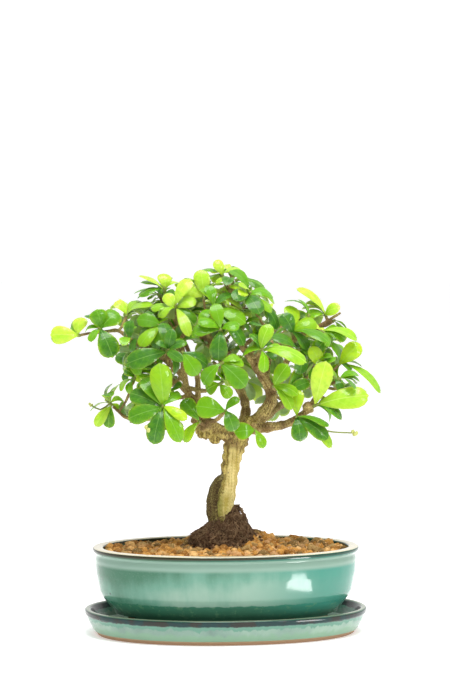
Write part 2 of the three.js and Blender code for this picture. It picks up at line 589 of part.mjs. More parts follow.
// The crown as the viewer sees it: its upper and lower edge as [x, z], which the leaves that the
// rule adds stay between.
const CROWN_TOP = [[-135, 227], [-99, 238], [-81, 249], [-63, 267], [-39, 265], [-15, 272], [-3, 277], [9, 274],
  [27, 261], [39, 252], [57, 256], [75, 246], [87, 228], [99, 217], [115, 182]];
const CROWN_FOOT = [[-135, 222], [-120, 216], [-108, 217], [-104, 172], [-99, 156], [-81, 160], [-60, 148],
  [-30, 146], [20, 144], [33, 151], [60, 150], [75, 142], [84, 150], [90, 168], [115, 175]];

function inCrown([x, , z]) {
  if (x < CROWN_TOP[0][0] || x > CROWN_TOP[CROWN_TOP.length - 1][0]) {
    return false;
  }
  return z < heightOf(CROWN_TOP, x) && z > heightOf(CROWN_FOOT, x);
}

const CHANGES = [
  { near: 0, tilt: 0, scale: 1 }, { near: 4, tilt: 0, scale: 1 }, { near: -4, tilt: 0, scale: 1 },
  { near: 0, tilt: 14, scale: 1 }, { near: 4, tilt: -12, scale: 1 }, { near: 8, tilt: 0, scale: 1 },
  { near: -8, tilt: 10, scale: 0.96 }, { near: 10, tilt: 10, scale: 0.94 }, { near: 2, tilt: 22, scale: 0.9 },
  { near: 13, tilt: 0, scale: 0.92 }, { near: -12, tilt: 0, scale: 0.9 }, { near: 5, tilt: 5, scale: 0.8 },
];

// Places every leaf: first the listed ones, then those that the rule adds.
function growLeaves(twigs, wood) {
  const random = randomFrom(SEED);
  const crowd = makeCrowd();
  const placed = twigs.map(() => []);
  const rootOf = (twig, n) => {
    const spoke = mul([Math.cos(2.4 * n), Math.sin(2.4 * n), Math.sin(1.3 * n)], 0.22);
    return add(add(twig.at, mul(twig.axis, SHOOT_LEAF * n - 1.6)), spoke);
  };
  const keep = (twig, leaf) => {
    placed[twig.index].push(leaf);
    for (const point of leafSamples(leaf)) {
      crowd.put(point, twig.index);
    }
  };
  for (const twig of twigs) {
    const rows = SHOOTS[twig.name].leaves;
    rows.forEach((row, n) => {
      const root = rootOf(twig, n);
      for (const change of CHANGES) {
        const leaf = listedLeaf(twig, row, root, change);
        if (isFree(leaf, twig.index, crowd, wood)) {
          keep(twig, leaf);
          break;
        }
      }
    });
  }
  for (const twig of twigs) {
    const { leaves, more } = SHOOTS[twig.name];
    let made = 0;
    for (let tries = 0; tries < 14 * more && made < more; tries += 1) {
      const root = rootOf(twig, leaves.length + made);
      const leaf = grownLeaf(twig, leaves.length + tries, random, root, leaves.length > 0);
      if (inCrown(leaf.tip) && isFree(leaf, twig.index, crowd, wood)) {
        keep(twig, leaf);
        made += 1;
      }
    }
  }
  return placed;
}

// The blade as a closed solid: two faces, split alike, that meet along the notched edge.
function leafSolid(leaf) {
  const at = [];
  const put = (along, side, lift) => at.push(...leafPoint(leaf, along, side, lift)) / 3 - 1;
  const root = put(0, 0, 0);
  const tip = put(1, 0, 0);
  const top = LEAF_RIB.map((along) => put(along, 0, LEAF_THICK / 2));
  const under = LEAF_RIB.map((along) => put(along, 0, -LEAF_THICK / 2));
  const index = [];
  for (const side of [-1, 1]) {
    const edge = LEAF_EDGE.map(([along, share]) => put(along, side * share, 0));
    for (const [rib, above] of [[top, true], [under, false]]) {
      const faces = [
        [root, edge[0], rib[0]], [rib[0], edge[0], edge[1]], [rib[0], edge[1], rib[1]], [rib[1], edge[1], edge[2]],
        [rib[1], edge[2], edge[3]], [rib[1], edge[3], tip],
      ];
      for (const [a, b, c] of faces) {
        index.push(...((side > 0) === above ? [a, b, c] : [a, c, b]));
      }
    }
  }
  const geometry = new THREE.BufferGeometry();
  geometry.setAttribute("position", new THREE.BufferAttribute(new Float32Array(at), 3));
  geometry.setIndex(index);
  return solid(geometry);
}

// A spray: a short green shoot with its leaves, and a bud on a stalk where it has one.
function makeSpray(twig, leaves) {
  const back = sub(twig.at, mul(twig.axis, SHOOT_BACK));
  const front = add(twig.at, mul(twig.axis, SHOOT_LEAF * (leaves.length - 1) - 1.6 + SHOOT_FRONT));
  const pieces = [limb([back, front], [SHOOT_RADIUS, SHOOT_RADIUS * 0.8], 3, 1), ...leaves.map(leafSolid)];
  const { bud } = SHOOTS[twig.name];
  if (bud) {
    const end = bud.slice(0, 3);
    const middle = add(add(mul(twig.at, 0.5), mul(end, 0.5)), [0, -2, -4]);
    pieces.push(limb([twig.at, middle, end], [0.8, 0.7], 3, 3), ball(bud));
  }
  return join(pieces);
}

function makeWood(twigs) {
  const random = randomFrom(SEED + 2);
  const pieces = [];
  for (const [points, radii, sides] of Object.values(LIMBS)) {
    pieces.push(limb(points, radii, sides, stepsOf(points, LIMB_PITCH, 2), 0.2, random));
  }
  for (const twig of twigs) {
    pieces.push(limb(twig.points, twig.radii, 3, stepsOf(twig.points, TWIG_PITCH, 1)));
  }
  return join([...pieces, ...KNOTS.map((knot) => ball(knot, 0.85))]);
}

// Root mound: a rough cone round the foot of the trunk, with a plain plug in the soil.
function makeMound() {
  const random = randomFrom(SEED + 3);
  const profile = [[0, MOUND_BOTTOM], ...MOUND_RINGS.map(([z, share]) => [share, z]), [0, 91]];
  const sides = 14;
  const geometry = new THREE.LatheGeometry(profile.map(([x, z]) => new THREE.Vector2(x, z)), sides);
  const spot = geometry.attributes.position;
  const bumps = new Map();
  for (let i = 0; i < spot.count; i += 1) {
    const reach = Math.hypot(spot.getX(i), spot.getZ(i));
    const turn = Math.atan2(-spot.getZ(i), spot.getX(i));
    const z = spot.getY(i);
    const key = Math.round(z * 10) + 10000 * (Math.round((turn / (2 * Math.PI)) * sides + sides) % sides);
    if (!bumps.has(key)) {
      bumps.set(key, z > SOIL_LEVEL + 2 && reach > 0.1
        ? [1 + MOUND_ROUGH * (random() - 0.5), MOUND_LUMP * (random() - 0.5)] : [1, 0]);
    }
    const [wide, lift] = bumps.get(key);
    const high = THREE.MathUtils.clamp((z - 72) / 18, 0, 1);
    const shift = MOUND_SHIFT * high;
    const share = Math.min(1, reach * wide);
    const x = MOUND_CENTRE[0] + shift + share * MOUND_HALF[0] * Math.cos(turn);
    const y = MOUND_CENTRE[1] + share * MOUND_HALF[1] * Math.sin(turn);
    spot.setXYZ(i, x, y, z + lift + MOUND_LEAN * high * reach * Math.cos(turn));
  }
  let mound = solid(geometry);
  for (const name of ["trunk", "old_root"]) {
    const [points, radii, sides2] = LIMBS[name];
    const ends = [...points];
    ends[0] = name === "trunk" ? [points[0][0], points[0][1], points[0][2] - GAP] : points[0];
    mound = mound.subtract(limb(ends, radii.map((r) => r * 1.115 + GAP), sides2 * 2, 8));
  }
  return largest(mound);
}

// Assembly.
const GLAZE = 0x7fae96;
const SAUCER_GLAZE = 0x86a892;
const SOIL = 0xc58c43;
const MOUND = 0x50392a;
const WOOD = 0xb39a64;
const YOUNG = 0xb6d82a;
const MATURE = 0x4d8f3c;

const limbSamples = Object.values(LIMBS).flatMap(([points, radii]) => (
  samplesOf(points, radii, -1, stepsOf(points, LIMB_PITCH, 2), 3)
));
const twigs = twigsOf(limbSamples);
const wood = [
  ...limbSamples,
  ...KNOTS.map((knot) => [...knot, -1]),
  ...twigs.flatMap((twig) => samplesOf(twig.points, twig.radii, twig.index, stepsOf(twig.points, TWIG_PITCH, 1), 2)),
];
const leaves = growLeaves(twigs, wood);

const bonsai = new THREE.Group();
bonsai.add(meshOf(makeSaucer(), "saucer", SAUCER_GLAZE, 0.2));
bonsai.add(meshOf(makePot(), "pot", GLAZE, 0.15));
bonsai.add(meshOf(makeSoil(), "soil", SOIL, 0.95));

const tree = new THREE.Group();
tree.rotation.z = TREE_TURN;
tree.add(meshOf(makeMound(), "root_mound", MOUND, 0.95));
tree.add(meshOf(makeWood(twigs), "trunk_and_branches", WOOD, 0.8));
for (const twig of twigs) {
  const young = leaves[twig.index].filter((leaf) => leaf.age < 0.5).length * 2 > leaves[twig.index].length;
  tree.add(meshOf(makeSpray(twig, leaves[twig.index]), `spray_${twig.name}`, young ? YOUNG : MATURE, 0.35));
}
bonsai.add(tree);

export default bonsai;
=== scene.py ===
"""A fukien tea bonsai in an oval glazed pot on its saucer.

Metres, +Z up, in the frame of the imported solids. The tree's own rule for its leaves is worked in
millimetres in the picture's frame, where X runs to the right, Y away from the viewer and Z up, and
at_place() turns it into the pot's frame.
"""

import math

import bmesh
import bpy
from mathutils import Matrix, Vector, noise
from mathutils.kdtree import KDTree


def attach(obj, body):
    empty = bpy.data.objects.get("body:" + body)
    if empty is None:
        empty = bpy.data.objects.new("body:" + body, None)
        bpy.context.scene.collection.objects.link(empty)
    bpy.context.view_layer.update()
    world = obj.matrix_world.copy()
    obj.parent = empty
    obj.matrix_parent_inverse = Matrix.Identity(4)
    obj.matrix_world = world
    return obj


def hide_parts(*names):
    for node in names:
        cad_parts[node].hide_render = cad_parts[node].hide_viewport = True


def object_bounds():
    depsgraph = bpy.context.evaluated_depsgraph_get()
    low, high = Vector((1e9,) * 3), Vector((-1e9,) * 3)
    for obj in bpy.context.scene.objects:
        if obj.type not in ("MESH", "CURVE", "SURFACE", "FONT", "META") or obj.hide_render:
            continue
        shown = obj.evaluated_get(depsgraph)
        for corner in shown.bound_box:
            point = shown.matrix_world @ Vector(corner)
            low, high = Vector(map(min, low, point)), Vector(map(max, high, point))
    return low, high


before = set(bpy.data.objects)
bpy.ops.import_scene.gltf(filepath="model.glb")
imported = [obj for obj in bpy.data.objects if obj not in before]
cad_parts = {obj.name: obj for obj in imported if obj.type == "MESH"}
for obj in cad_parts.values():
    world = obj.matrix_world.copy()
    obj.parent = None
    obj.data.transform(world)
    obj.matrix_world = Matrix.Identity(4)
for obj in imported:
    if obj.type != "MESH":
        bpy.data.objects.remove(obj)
MM = 0.001
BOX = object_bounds()


# ---- Sizes, in millimetres -------------------------------------------------------------------

GAP = 0.3
POT_HALF = (100, 73.5)
SAUCER_HALF = (105.8, 78)
OVAL_POWER = 2.12
OVAL_STEPS = 192
OVAL_EDGE = 40
SAUCER_FLOOR = 6
SAUCER_RIM = 19
FOOT_BOTTOM = SAUCER_FLOOR + GAP
POT_UNDERSIDE = 16.5
POT_FLOOR = 24.5
POT_RIM = 65
FOOT_GAPS = ((90, 200), (200, 62))
FOOT_GAP_HIGH = 15
DRAIN_RADIUS = 6.5
DRAIN_CUT = 20
DRAIN_X = 36

SOIL_LEVEL = 60.8
SOIL_HEAP = 10.5
BED_DEPTH = 3.4
MOUND_CENTRE = (-3, 0)
MOUND_HALF = (24, 21)
MOUND_BOTTOM = 44
MOUND_BROW = 89
MOUND_TOP = 90
MOUND_LEAN = 6
MOUND_SHIFT = 3
MOUND_DIP = 5
MOUND_DIP_TURN = 1.75
FIBRE_BUNDLES = 20
BUNDLE_FIBRES = 43
MOUND_CRUMBS = 260
MOUND_RINGS = ((44, 1), (62, 1), (71, 0.98), (76, 0.86), (80, 0.69), (85, 0.53), (90, 0.42))

TREE_TURN = math.radians(-8)
SEED = 20417

# Woody limbs in the picture's frame: points, then the radius at each point or at the two ends.
LIMBS = {
    "trunk": (((-3, 0, 50), (-2.5, 0, 77), (-0.8, 0, 98), (2.4, 0, 118), (5, 0, 133), (8, 0, 144),
        (13, 0, 154)), (9, 8.7, 7.4, 6.6, 7.2, 8.6, 6.8)),
    "old_root": (((-4, 1, 117), (-8.5, 1.5, 110), (-10.5, 1, 100), (-10.7, 0, 91), (-9, 0, 80),
        (-6, 0, 70)), (1.6, 3, 3.8, 4.1, 3.9, 3.4)),
    "left_bough": (((8, 0, 144), (-5, -3, 151), (-15, -6, 158), (-22, -6, 168), (-28, -4, 178)),
        (5.6, 3)),
    "left_riser": (((-27, -4, 176), (-31, -8, 192), (-32, -12, 209), (-34, -12, 224),
        (-37, -11, 239)), (2.7, 1.3)),
    "back_left_riser": (((-22, -5, 168), (-21, 2, 180), (-22, 10, 194), (-28, 18, 209),
        (-35, 20, 225), (-43, 14, 243)), (2.6, 1.2)),
    "left_arm": (((-30, -8, 190), (-41, -10, 201), (-55, -12, 211), (-69, -10, 218), (-80, -8, 226),
        (-91, -7, 225), (-102, -4, 224)), (2.2, 1.1)),
    "low_left_arm": (((-22, -6, 167), (-35, -9, 166), (-48, -11, 163), (-61, -8, 160), (-74, -5, 161),
        (-82, -2, 167)), (2.3, 1.1)),
    "leader": (((15, 0, 153), (27, -3, 163), (34, -4, 175), (31, -4, 186), (24, -5, 197),
        (18, -6, 206), (12, -7, 215), (7, -6, 224)), (5.2, 2.1)),
    "apex_twig": (((8, -6, 222), (6, -4, 234), (5, 0, 246), (4, 3, 256), (-1, 4, 262)), (2.1, 1.2)),
    "cross_twig": (((6, -6, 225), (-3, -10, 230), (-14, -12, 235)), (1.5, 1)),
    "middle_bough": (((12, 3, 154), (15, 8, 166), (12, 14, 178), (5, 22, 187), (-3, 34, 200),
        (-11, 44, 213), (-15, 50, 224)), (4, 1.4)),
    "right_bough": (((18, -2, 152), (31, -5, 154), (43, -8, 156), (53, -12, 161), (62, -16, 169)),
        (4.2, 2.3)),
    "right_riser": (((33, -4, 178), (41, -6, 191), (46, -7, 206), (49, -6, 217), (60, -2, 225),
        (71, 4, 230), (86, 8, 239)), (2.9, 1)),
    "far_right_twig": (((62, -15, 169), (68, -12, 180), (75, -6, 191), (81, -1, 197)), (2, 1.1)),
    "back_right_bough": (((30, -2, 185), (31, 16, 197), (34, 34, 212), (37, 46, 222)), (2.8, 1.3)),
    "back_left_bough": (((-15, -3, 160), (-23, 12, 172), (-34, 28, 183), (-46, 40, 194),
        (-56, 46, 203)), (3.2, 1.3)),
    "back_low_bough": (((17, 1, 153), (27, 8, 158), (38, 18, 166), (49, 32, 177), (60, 42, 186)),
        (3.2, 1.3)),
}

# Knots and burrs on the wood: x, y, z, radius.
KNOTS = (
    (-16, -7, 152, 6.6), (-8, -3, 148, 6), (-21, -7, 160, 4.8), (61, -16, 169, 4.4), (2, 3, 260, 3),
    (-43, -12, 205, 3.4), (20, -3, 157, 6), (34, -4, 177, 4.6),
)

# Leafy shoots in the picture's frame: the place, the number of leaves that the rule adds, and the
# listed leaves. Each of these is the step from the shoot to its tip, to the right, towards the viewer
# and up, then its width, how far its face is tipped up from the viewer in degrees, and its age from
# 0, young, to 1.
SHOOTS = {
    "far_left": ((-111, -2, 222), 0, ((-20, 3, 1, 14.5, 5, 0), (3, -3, 14, 12.5, 25, 0))),
    "left_arm_middle": ((-92, -9, 226), 0, ((-2, 4, 14.5, 14, 20, 0.6), (14, -4, 12, 15, 15, 0.6),
        (10, 8, -20.5, 16.5, 10, 1), (-10, -8, 11, 10, 50, 0.9))),
    "left_arm_top": ((-74, 4, 238), 1, ((-9, 2, 9.5, 10, 45, 0.2), (19, 6, 8, 11, 62, 0.2),
        (12, -5, 9.5, 11, 40, 0.2))),
    "upper_left": ((-46, 8, 256), 0, ((-19.5, 4, 11, 9, 62, 0.2), (-1, -3, 12.5, 11, 20, 0),
        (11.5, -4, 5.5, 10, 60, 0.2), (-19.5, 6, -3.5, 10, 62, 0.9))),
    "left_shoulder": ((-37, -16, 243), 3, ((-8, 2, 10.5, 9.5, 10, 0), (15, 3, 6, 12, 35, 0.4),
        (13.5, 8, -12, 13, 15, 1), (10, 13, -20, 9, 25, 0.25), (-13, 5, -6, 11, 55, 0.2))),
    "upper_middle": ((-17, -6, 252), 4, ((-2, 2, 19.5, 12.5, 10, 0.25), (-19, 8, 6.5, 13, 5, 0),
        (30, 8, -9, 12, 68, 0.2))),
    "apex": ((-3, 4, 268), 2, ((-4.5, 2, 10.5, 8.5, 10, 0), (13.5, 3, 4.5, 7.5, 55, 0.2),
        (-17, -2, 2.5, 9, 62, 0.8))),
    "upper_right": ((9, 3, 264), 2, ((20.5, 3, -6, 11, 50, 0.8), (-17, -6, -5, 13, 10, 1),
        (31, 8, -20, 12, 58, 0.4))),
    "right_crown": ((15, -12, 252), 4, ((19, 6, -12, 11, 60, 0.4), (10, 14, -12, 13, 20, 0.9))),
    "front_crown": ((-10, -24, 243), 4, ((25, 6, -10, 13, 35, 0.5), (24, 12, -27, 12, 35, 1))),
    "front_heart": ((-4, -38, 228), 3, ((-1.5, 6, -22.5, 14, 10, 1), (-19, 8, -2, 9, 30, 0.7),
        (14, 3, 3, 11, 40, 0.6))),
    "left_front": ((-48, -22, 230), 2, ((-18, 3, 5, 11.5, 20, 0.6), (-17, 9, -8, 13, 45, 0.6),
        (-17, 2, -15, 12, 25, 0.5))),
    "left_dark": ((-43, -36, 212), 2, ((-29.5, 8, -8.5, 15, 10, 1), (11.5, 7, -6.5, 8, 5, 0.9))),
    "front_pair": ((-32, -46, 212), 1, ((11.5, 6, -17, 13, 5, 0.6), (21, 3, -11.5, 13, 15, 0.8))),
    "low_left_star": ((-46, -44, 171), 1, ((-2.5, 4, 33, 17, 5, 0.4), (-24.5, -4, 11, 14.5, 15, 0.9),
        (-15, -9, 22, 14, 20, 0.7), (-25.5, 6, -7.5, 14, 10, 0.9), (-7, 8, -26, 14, 10, 1),
        (13, 8, -24, 12.5, 10, 0.5), (17.5, 11, -7.5, 8.5, 15, 0.15), (12, -6, 11, 11, 25, 0.6))),
    "under_bough": ((-20, -24, 160), 0, ((-11, 4, -15.5, 8.5, 30, 0.2), (-12, -2, 16, 13, 15, 0.8))),
    "front_low": ((0, -40, 169), 0, ((-22, 5, 3.5, 16.5, 5, 0.6), (6, 4, -15, 12, 10, 0.7))),
    "fork": ((21, -28, 154), 0, ((-14.5, 5, -1.5, 13.5, 5, 0.5), (7, 3, -13.5, 8.5, 30, 0.5))),
    "front_middle": ((-3, -48, 204), 0, ((17.5, 5, -17, 15.5, 10, 0.8),
        (-14, -8, -16, 12, 20, 0.55))),
    "inner_middle": ((-4, -30, 188), 1, ((7, 3, -10.5, 10, 20, 0.4), (-11, -2, -5, 11, 15, 0.6))),
    "right_front": ((26, -36, 213), 2, ((33, 8, -8, 14, 45, 0.45), (6, 2, 19, 11, 15, 0.35),
        (2, 6, -16, 11, 40, 0.5))),
    "right_inner": ((35, -24, 186), 0, ((10.5, 4, 16, 12.5, 10, 0.3), (18, 4, -6, 13, 45, 0.55),
        (14, 6, -17, 11, 40, 0.3))),
    "right_crest": ((49, -9, 225), 1, ((-7, 4, 14, 12, 15, 0.9), (-1, -4, 20, 13, 25, 0.3),
        (18, -6, 8, 14, 20, 0.3), (29, 6, -7, 12, 55, 0.6), (12, 5, -13, 12, 45, 1))),
    "right_peak": ((75, 8, 236), 0, ((-21, 4, 20.5, 9, 50, 0), (10.5, 2, 6, 10, 20, 0.1),
        (-15, 3, -1.5, 10, 40, 0.5))),
    "right_step": ((72, -3, 225), 0, ((26, 4, -5, 11, 55, 0.4), (-15, 4, 5, 9, 45, 0.1))),
    "far_right": ((83, 0, 199), 0, ((14.5, 4, 15, 13.5, 5, 0), (-5, 3, 16, 9, 60, 0.4),
        (9, 2, -4.5, 9, 50, 0.6), (31, 3, -21, 11, 60, 0.3), (-6, 4, -13, 11, 40, 0.4))),
    "low_right_star": ((66, -19, 171), 0, ((38.5, 6, 8, 18, 15, 0.3), (7, 6, 33, 16.5, 5, 0.15),
        (19, 4, -10, 12, 50, 0.9), (23, -6, 0, 10, 40, 0.2))),
    "right_lime": ((70, -12, 200), 1, ((-7, 4, 14.5, 10.5, 5, 0), (13, -4, -12, 11, 40, 0.2))),
    "low_right": ((52, -22, 163), 0, ((1.5, 6, 20.5, 11, 10, 0.3), (3, 5, -18, 13, 5, 0.9),
        (23.5, 6, -16, 12, 20, 1), (27, 1, -23, 10, 35, 0.1), (26, -4, -7, 11, 55, 0.6))),
    "crown_side": ((27, -7, 246), 3, ((12, 6, -18, 12, 40, 0.9), (0, -3, 14, 11, 50, 0.5))),
    "right_hollow": ((54, -14, 212), 2, ((1, 3, -18, 12, 25, 1), (-20, 6, 11, 11, 45, 0.9))),
    "low_left_tip": ((-86, -2, 171), 0, ((-11, 3, -17, 8.5, 10, 0.3), (-1, 5, -18.5, 9.5, 10, 0.9),
        (10, -2, 2.5, 8, 45, 0.3), (7, -6, -7, 7, 30, 0.1))),
    "left_hang": ((-68, -14, 191), 2, ((-4, 4, -11, 8, 50, 0.5), (-11, -3, -9, 9, 60, 0.3),
        (-7, 2, 7, 9, 40, 0.9))),
    "back_top_left": ((-23, 30, 242), 5, ()),
    "back_top_right": ((19, 30, 245), 5, ()),
    "back_crown": ((-3, 50, 234), 5, ()),
    "back_left": ((-38, 46, 222), 5, ()),
    "back_middle": ((-11, 60, 214), 5, ()),
    "back_right": ((27, 60, 218), 4, ()),
    "back_far_right": ((50, 50, 213), 4, ()),
    "back_left_arm": ((-58, 50, 212), 4, ()),
    "back_left_low": ((-65, 34, 195), 4, ()),
    "back_left_side": ((-52, 30, 230), 4, ()),
    "back_right_low": ((60, 48, 189), 4, ()),
    "back_right_side": ((72, 30, 212), 4, ()),
    "back_low_middle": ((9, 50, 188), 4, ()),
    "back_low_right": ((38, 42, 174), 4, ()),
}

# The shoots that bear a flower bud: x, y, z, radius.
BUDS = {
    "low_left_star": (-56.5, -50, 156, 2.8),
    "low_right": (95, -24, 151, 2.4),
    "low_left_tip": (-101, -2, 170.5, 1.6),
}

# The shoots whose leaves are mostly young, as in the solids.
YOUNG_SHOOTS = (
    "far_left", "left_arm_top", "upper_left", "left_shoulder", "upper_middle", "apex", "upper_right",
    "inner_middle", "right_front", "right_inner", "right_peak", "right_step", "low_right_star",
    "low_left_tip", "left_hang", "back_top_left", "back_crown", "back_left", "back_left_arm",
    "back_right_side", "back_low_middle",
)

# The crown as the viewer sees it: its upper and lower edge as x and z. The tips of the leaves that the
# rule adds stay between them.
CROWN_TOP = ((-135, 227), (-99, 238), (-81, 249), (-63, 267), (-39, 265), (-15, 272), (-3, 277),
    (9, 274), (27, 261), (39, 252), (57, 256), (75, 246), (87, 228), (99, 217), (115, 182))
CROWN_FOOT = ((-135, 222), (-120, 216), (-108, 217), (-104, 172), (-99, 156), (-81, 160), (-60, 148),
    (-30, 146), (20, 144), (33, 151), (60, 150), (75, 142), (84, 150), (90, 168), (115, 175))

LEAF_THICK = 0.5
LEAF_ARCH = 0.1
LEAF_CUP = 0.08
LEAF_CLEAR = 2.3
FILL_CLEAR = 1.45
LEAF_STEP = 2.6
LEAF_FOOT = 0.14
LEAF_REST = 0.86
WOOD_CLEAR = 1.5
OWN_WOOD_CLEAR = 0.9
SHOOT_BACK = 2.6
SHOOT_CLEAR = 2.4
SHOOT_LEAF = 0.75
SHORTEST_TWIG = 6.4
SAGGING_TWIG = 14
LOWEST_TWIG = 150
TWIG_SINK = 0.2
TWIG_SAG = 0.12
TWIG_SHARE = 0.85
TWIG_RADII = (1.9, 1.3)
LIMB_PITCH = 15
TWIG_PITCH = 20
GOLDEN = math.radians(137.508)
TURN = 6.28
GROWN_TRIES = 14
FILL_SHOOTS = 200
FILL_LEAVES = 7
FILL_TRIES = (60, 30, 5000)
FILL_FROM = 152
FILL_WOOD = 4
FILL_REACH = 9
FILL_SHOOT_REACH = 16
CROWN_HEART = (0, 4, 190)
BARE_RADIUS = 1.7
BARE_TOP = 214
BARE_BACK = 12
INNER_TOP = 236
MAP_CELL = 3
LEAF_HIDDEN = 0.3
WOOD_HIDDEN = 0.12


# ---- Random numbers and vectors ------------------------------------------------------------------

# A vector is a plain tuple of full precision, so that the rule places each leaf where the solids
# have it.


def random_from(seed):
    """Seeded random numbers from 0 to 1."""
    state = seed
    while True:
        state = (state + 0x6D2B79F5) & 0xFFFFFFFF
        t = ((state ^ (state >> 15)) * (state | 1)) & 0xFFFFFFFF
        t ^= (t + (((t ^ (t >> 7)) * (t | 61)) & 0xFFFFFFFF)) & 0xFFFFFFFF
        yield (t ^ (t >> 14)) / 4294967296


def drawn(random, low, span, power=1):
    """A random number from low to low + span."""
    return low + span * next(random) ** power


def jitter(random, reach):
    """A random number as far below 0 as above it."""
    return reach * (next(random) - 0.5)


def add(a, b):
    return (a[0] + b[0], a[1] + b[1], a[2] + b[2])


def sub(a, b):
    return (a[0] - b[0], a[1] - b[1], a[2] - b[2])


def mul(a, k):
    return (a[0] * k, a[1] * k, a[2] * k)


def dot(a, b):
    return a[0] * b[0] + a[1] * b[1] + a[2] * b[2]


def cross(a, b):
    return (a[1] * b[2] - a[2] * b[1], a[2] * b[0] - a[0] * b[2], a[0] * b[1] - a[1] * b[0])


def size(a):
    return math.sqrt(dot(a, a))


def unit(a):
    return mul(a, 1 / size(a))


def across(a, axis):
    return unit(sub(a, mul(axis, dot(a, axis))))


def closer(a, b, reach):
    x, y, z = sub(a, b)
    return x * x + y * y + z * z < reach * reach


def clamp(value, low, high):
    return min(high, max(low, value))


def smooth(value, start, end):
    share = clamp((value - start) / (end - start), 0, 1)
    return share * share * (3 - 2 * share)


def turned(point, angle=TREE_TURN):
    c = math.cos(angle)
    s = math.sin(angle)
    return (point[0] * c - point[1] * s, point[0] * s + point[1] * c, point[2])


def at_place(point):
    """A point of the picture's frame, in metres in the pot's frame."""
    return Vector(turned(point)) * MM


def height_of(line, place):
    """Height of a line through points (place, height) at a place within its ends."""
    n = max(1, next((n for n, (at, _) in enumerate(line) if at >= place), 1))
    (start, low), (end, high) = line[n - 1], line[n]
    return low + ((high - low) * (place - start)) / (end - start)


def tree_of(points):
    """A search tree of points, each with its number."""
    tree = KDTree(len(points))
    for i, point in enumerate(points):
        tree.insert(point, i)
    tree.balance()
    return tree


# ---- Curves and the wood's samples --------------------------------------------------------------


def curve_at(points, t):
    """The point at t, from 0 to 1, of the smooth curve through the points."""
    last = len(points) - 1
    start = min(int(last * t), last - 1)
    w = last * t - start
    before = points[start - 1] if start > 0 else sub(mul(points[0], 2), points[1])
    a = points[start]
    b = points[start + 1]
    after = points[start + 2] if start + 2 <= last else sub(mul(points[last], 2), points[last - 1])
    out = []
    for k in range(3):
        t0 = 0.5 * (b[k] - before[k])
        t1 = 0.5 * (after[k] - a[k])
        c2 = -3 * a[k] + 3 * b[k] - 2 * t0 - t1
        c3 = 2 * a[k] - 2 * b[k] + t0 + t1
        out.append(a[k] + t0 * w + c2 * w * w + c3 * w * w * w)
    return tuple(out)


def radius_at(radii, t):
    place = t * (len(radii) - 1)
    start = min(int(place), len(radii) - 2)
    return radii[start] + (radii[start + 1] - radii[start]) * (place - start)


def steps_of(points, pitch, least):
    run = sum(size(sub(b, a)) for a, b in zip(points, points[1:]))
    return max(least, math.floor(run / pitch + 0.5))


def samples_of(points, radii, owner, steps, spacing):
    """Points x, y, z with radius and owner along the straight steps that the solids' limbs have."""
    rows = []
    for i in range(steps):
        start = curve_at(points, i / steps)
        span = sub(curve_at(points, (i + 1) / steps), start)
        count = math.ceil(size(span) / spacing)
        for j in range(0 if i == 0 else 1, count + 1):
            at = add(start, mul(span, j / count))
            rows.append((*at, radius_at(radii, (i + j / count) / steps), owner))
    return rows


def twig_from(best, toward_point, index):
    """A twig from a sample of the wood to a shoot: its axis, its curve and where its leaves start."""
    toward = sub(toward_point, best)
    way = unit(toward)
    sunk = TWIG_SINK * best[3]
    start = sub(best, mul(way, sunk))
    run = max(SHORTEST_TWIG, size(toward)) + sunk
    at = add(start, mul(way, run))
    long = run > SAGGING_TWIG
    middle = add(add(mul(start, 0.5), mul(at, 0.5)), (0, 0, -TWIG_SAG * run if long else 0))
    axis = unit(sub(at, middle))
    end = sub(at, mul(axis, SHOOT_BACK + GAP))
    points = [start, middle, sub(end, mul(axis, 2)), end] if long else [start, end]
    radii = (min(TWIG_RADII[0], best[3] * TWIG_SHARE), TWIG_RADII[1])
    return {"index": index, "at": at, "axis": axis, "points": points, "radii": radii}


def twigs_of(samples):
    """A twig for each shoot, from the sample that is nearest, where one above the shoot counts less."""
    high = [sample for sample in samples if sample[2] > LOWEST_TWIG]
    twigs = []
    for index, (name, (at, _, _)) in enumerate(SHOOTS.items()):
        best = min(high, key=lambda s: size(sub(s, at)) + 0.5 * max(0, s[2] - at[2] + 2))
        twigs.append({"name": name, **twig_from(best, at, index)})
    return twigs


# ---- Where each leaf goes ------------------------------------------------------------------------

# How wide a leaf's clearance is at a place along it, as a share of the half width.
LEAF_REACH = ((0, 0.2), (0.12, 0.26), (0.4, 0.78), (0.72, 1), (0.93, 0.68), (1, 0.4))

# What a listed leaf may change when its place is taken: nearer, tipped further up, size.
CHANGES = (
    (0, 0, 1), (4, 0, 1), (-4, 0, 1), (0, 14, 1), (4, -12, 1), (8, 0, 1), (-8, 10, 0.96),
    (10, 10, 0.94), (2, 22, 0.9), (13, 0, 0.92), (-12, 0, 0.9), (5, 5, 0.8),
)


# What a grown leaf draws, each as the least value and the span above it.
OPENING = (38, 50)
LENGTH = (17, 8)
WIDTH_SHARE = (0.5, 0.06)
ARCH = (0.08, 0.06)
CUP = (-0.02, 0.12)
FILL_SIZE = (0.7, 0.26)


def in_crown(point):
    if not CROWN_TOP[0][0] <= point[0] <= CROWN_TOP[-1][0]:
        return False
    return height_of(CROWN_FOOT, point[0]) < point[2] < height_of(CROWN_TOP, point[0])


def leaf_point(leaf, along, side, lift):
    run, axis, wide = leaf["frame"]
    arch = leaf["arch"] * run * 4 * along * (1 - along)
    rise = arch - leaf["cup"] * leaf["width"] * side * side + lift
    out = add(mul(wide, side * leaf["width"] / 2), mul(leaf["normal"], rise))
    return add(add(leaf["root"], mul(axis, run * along)), out)


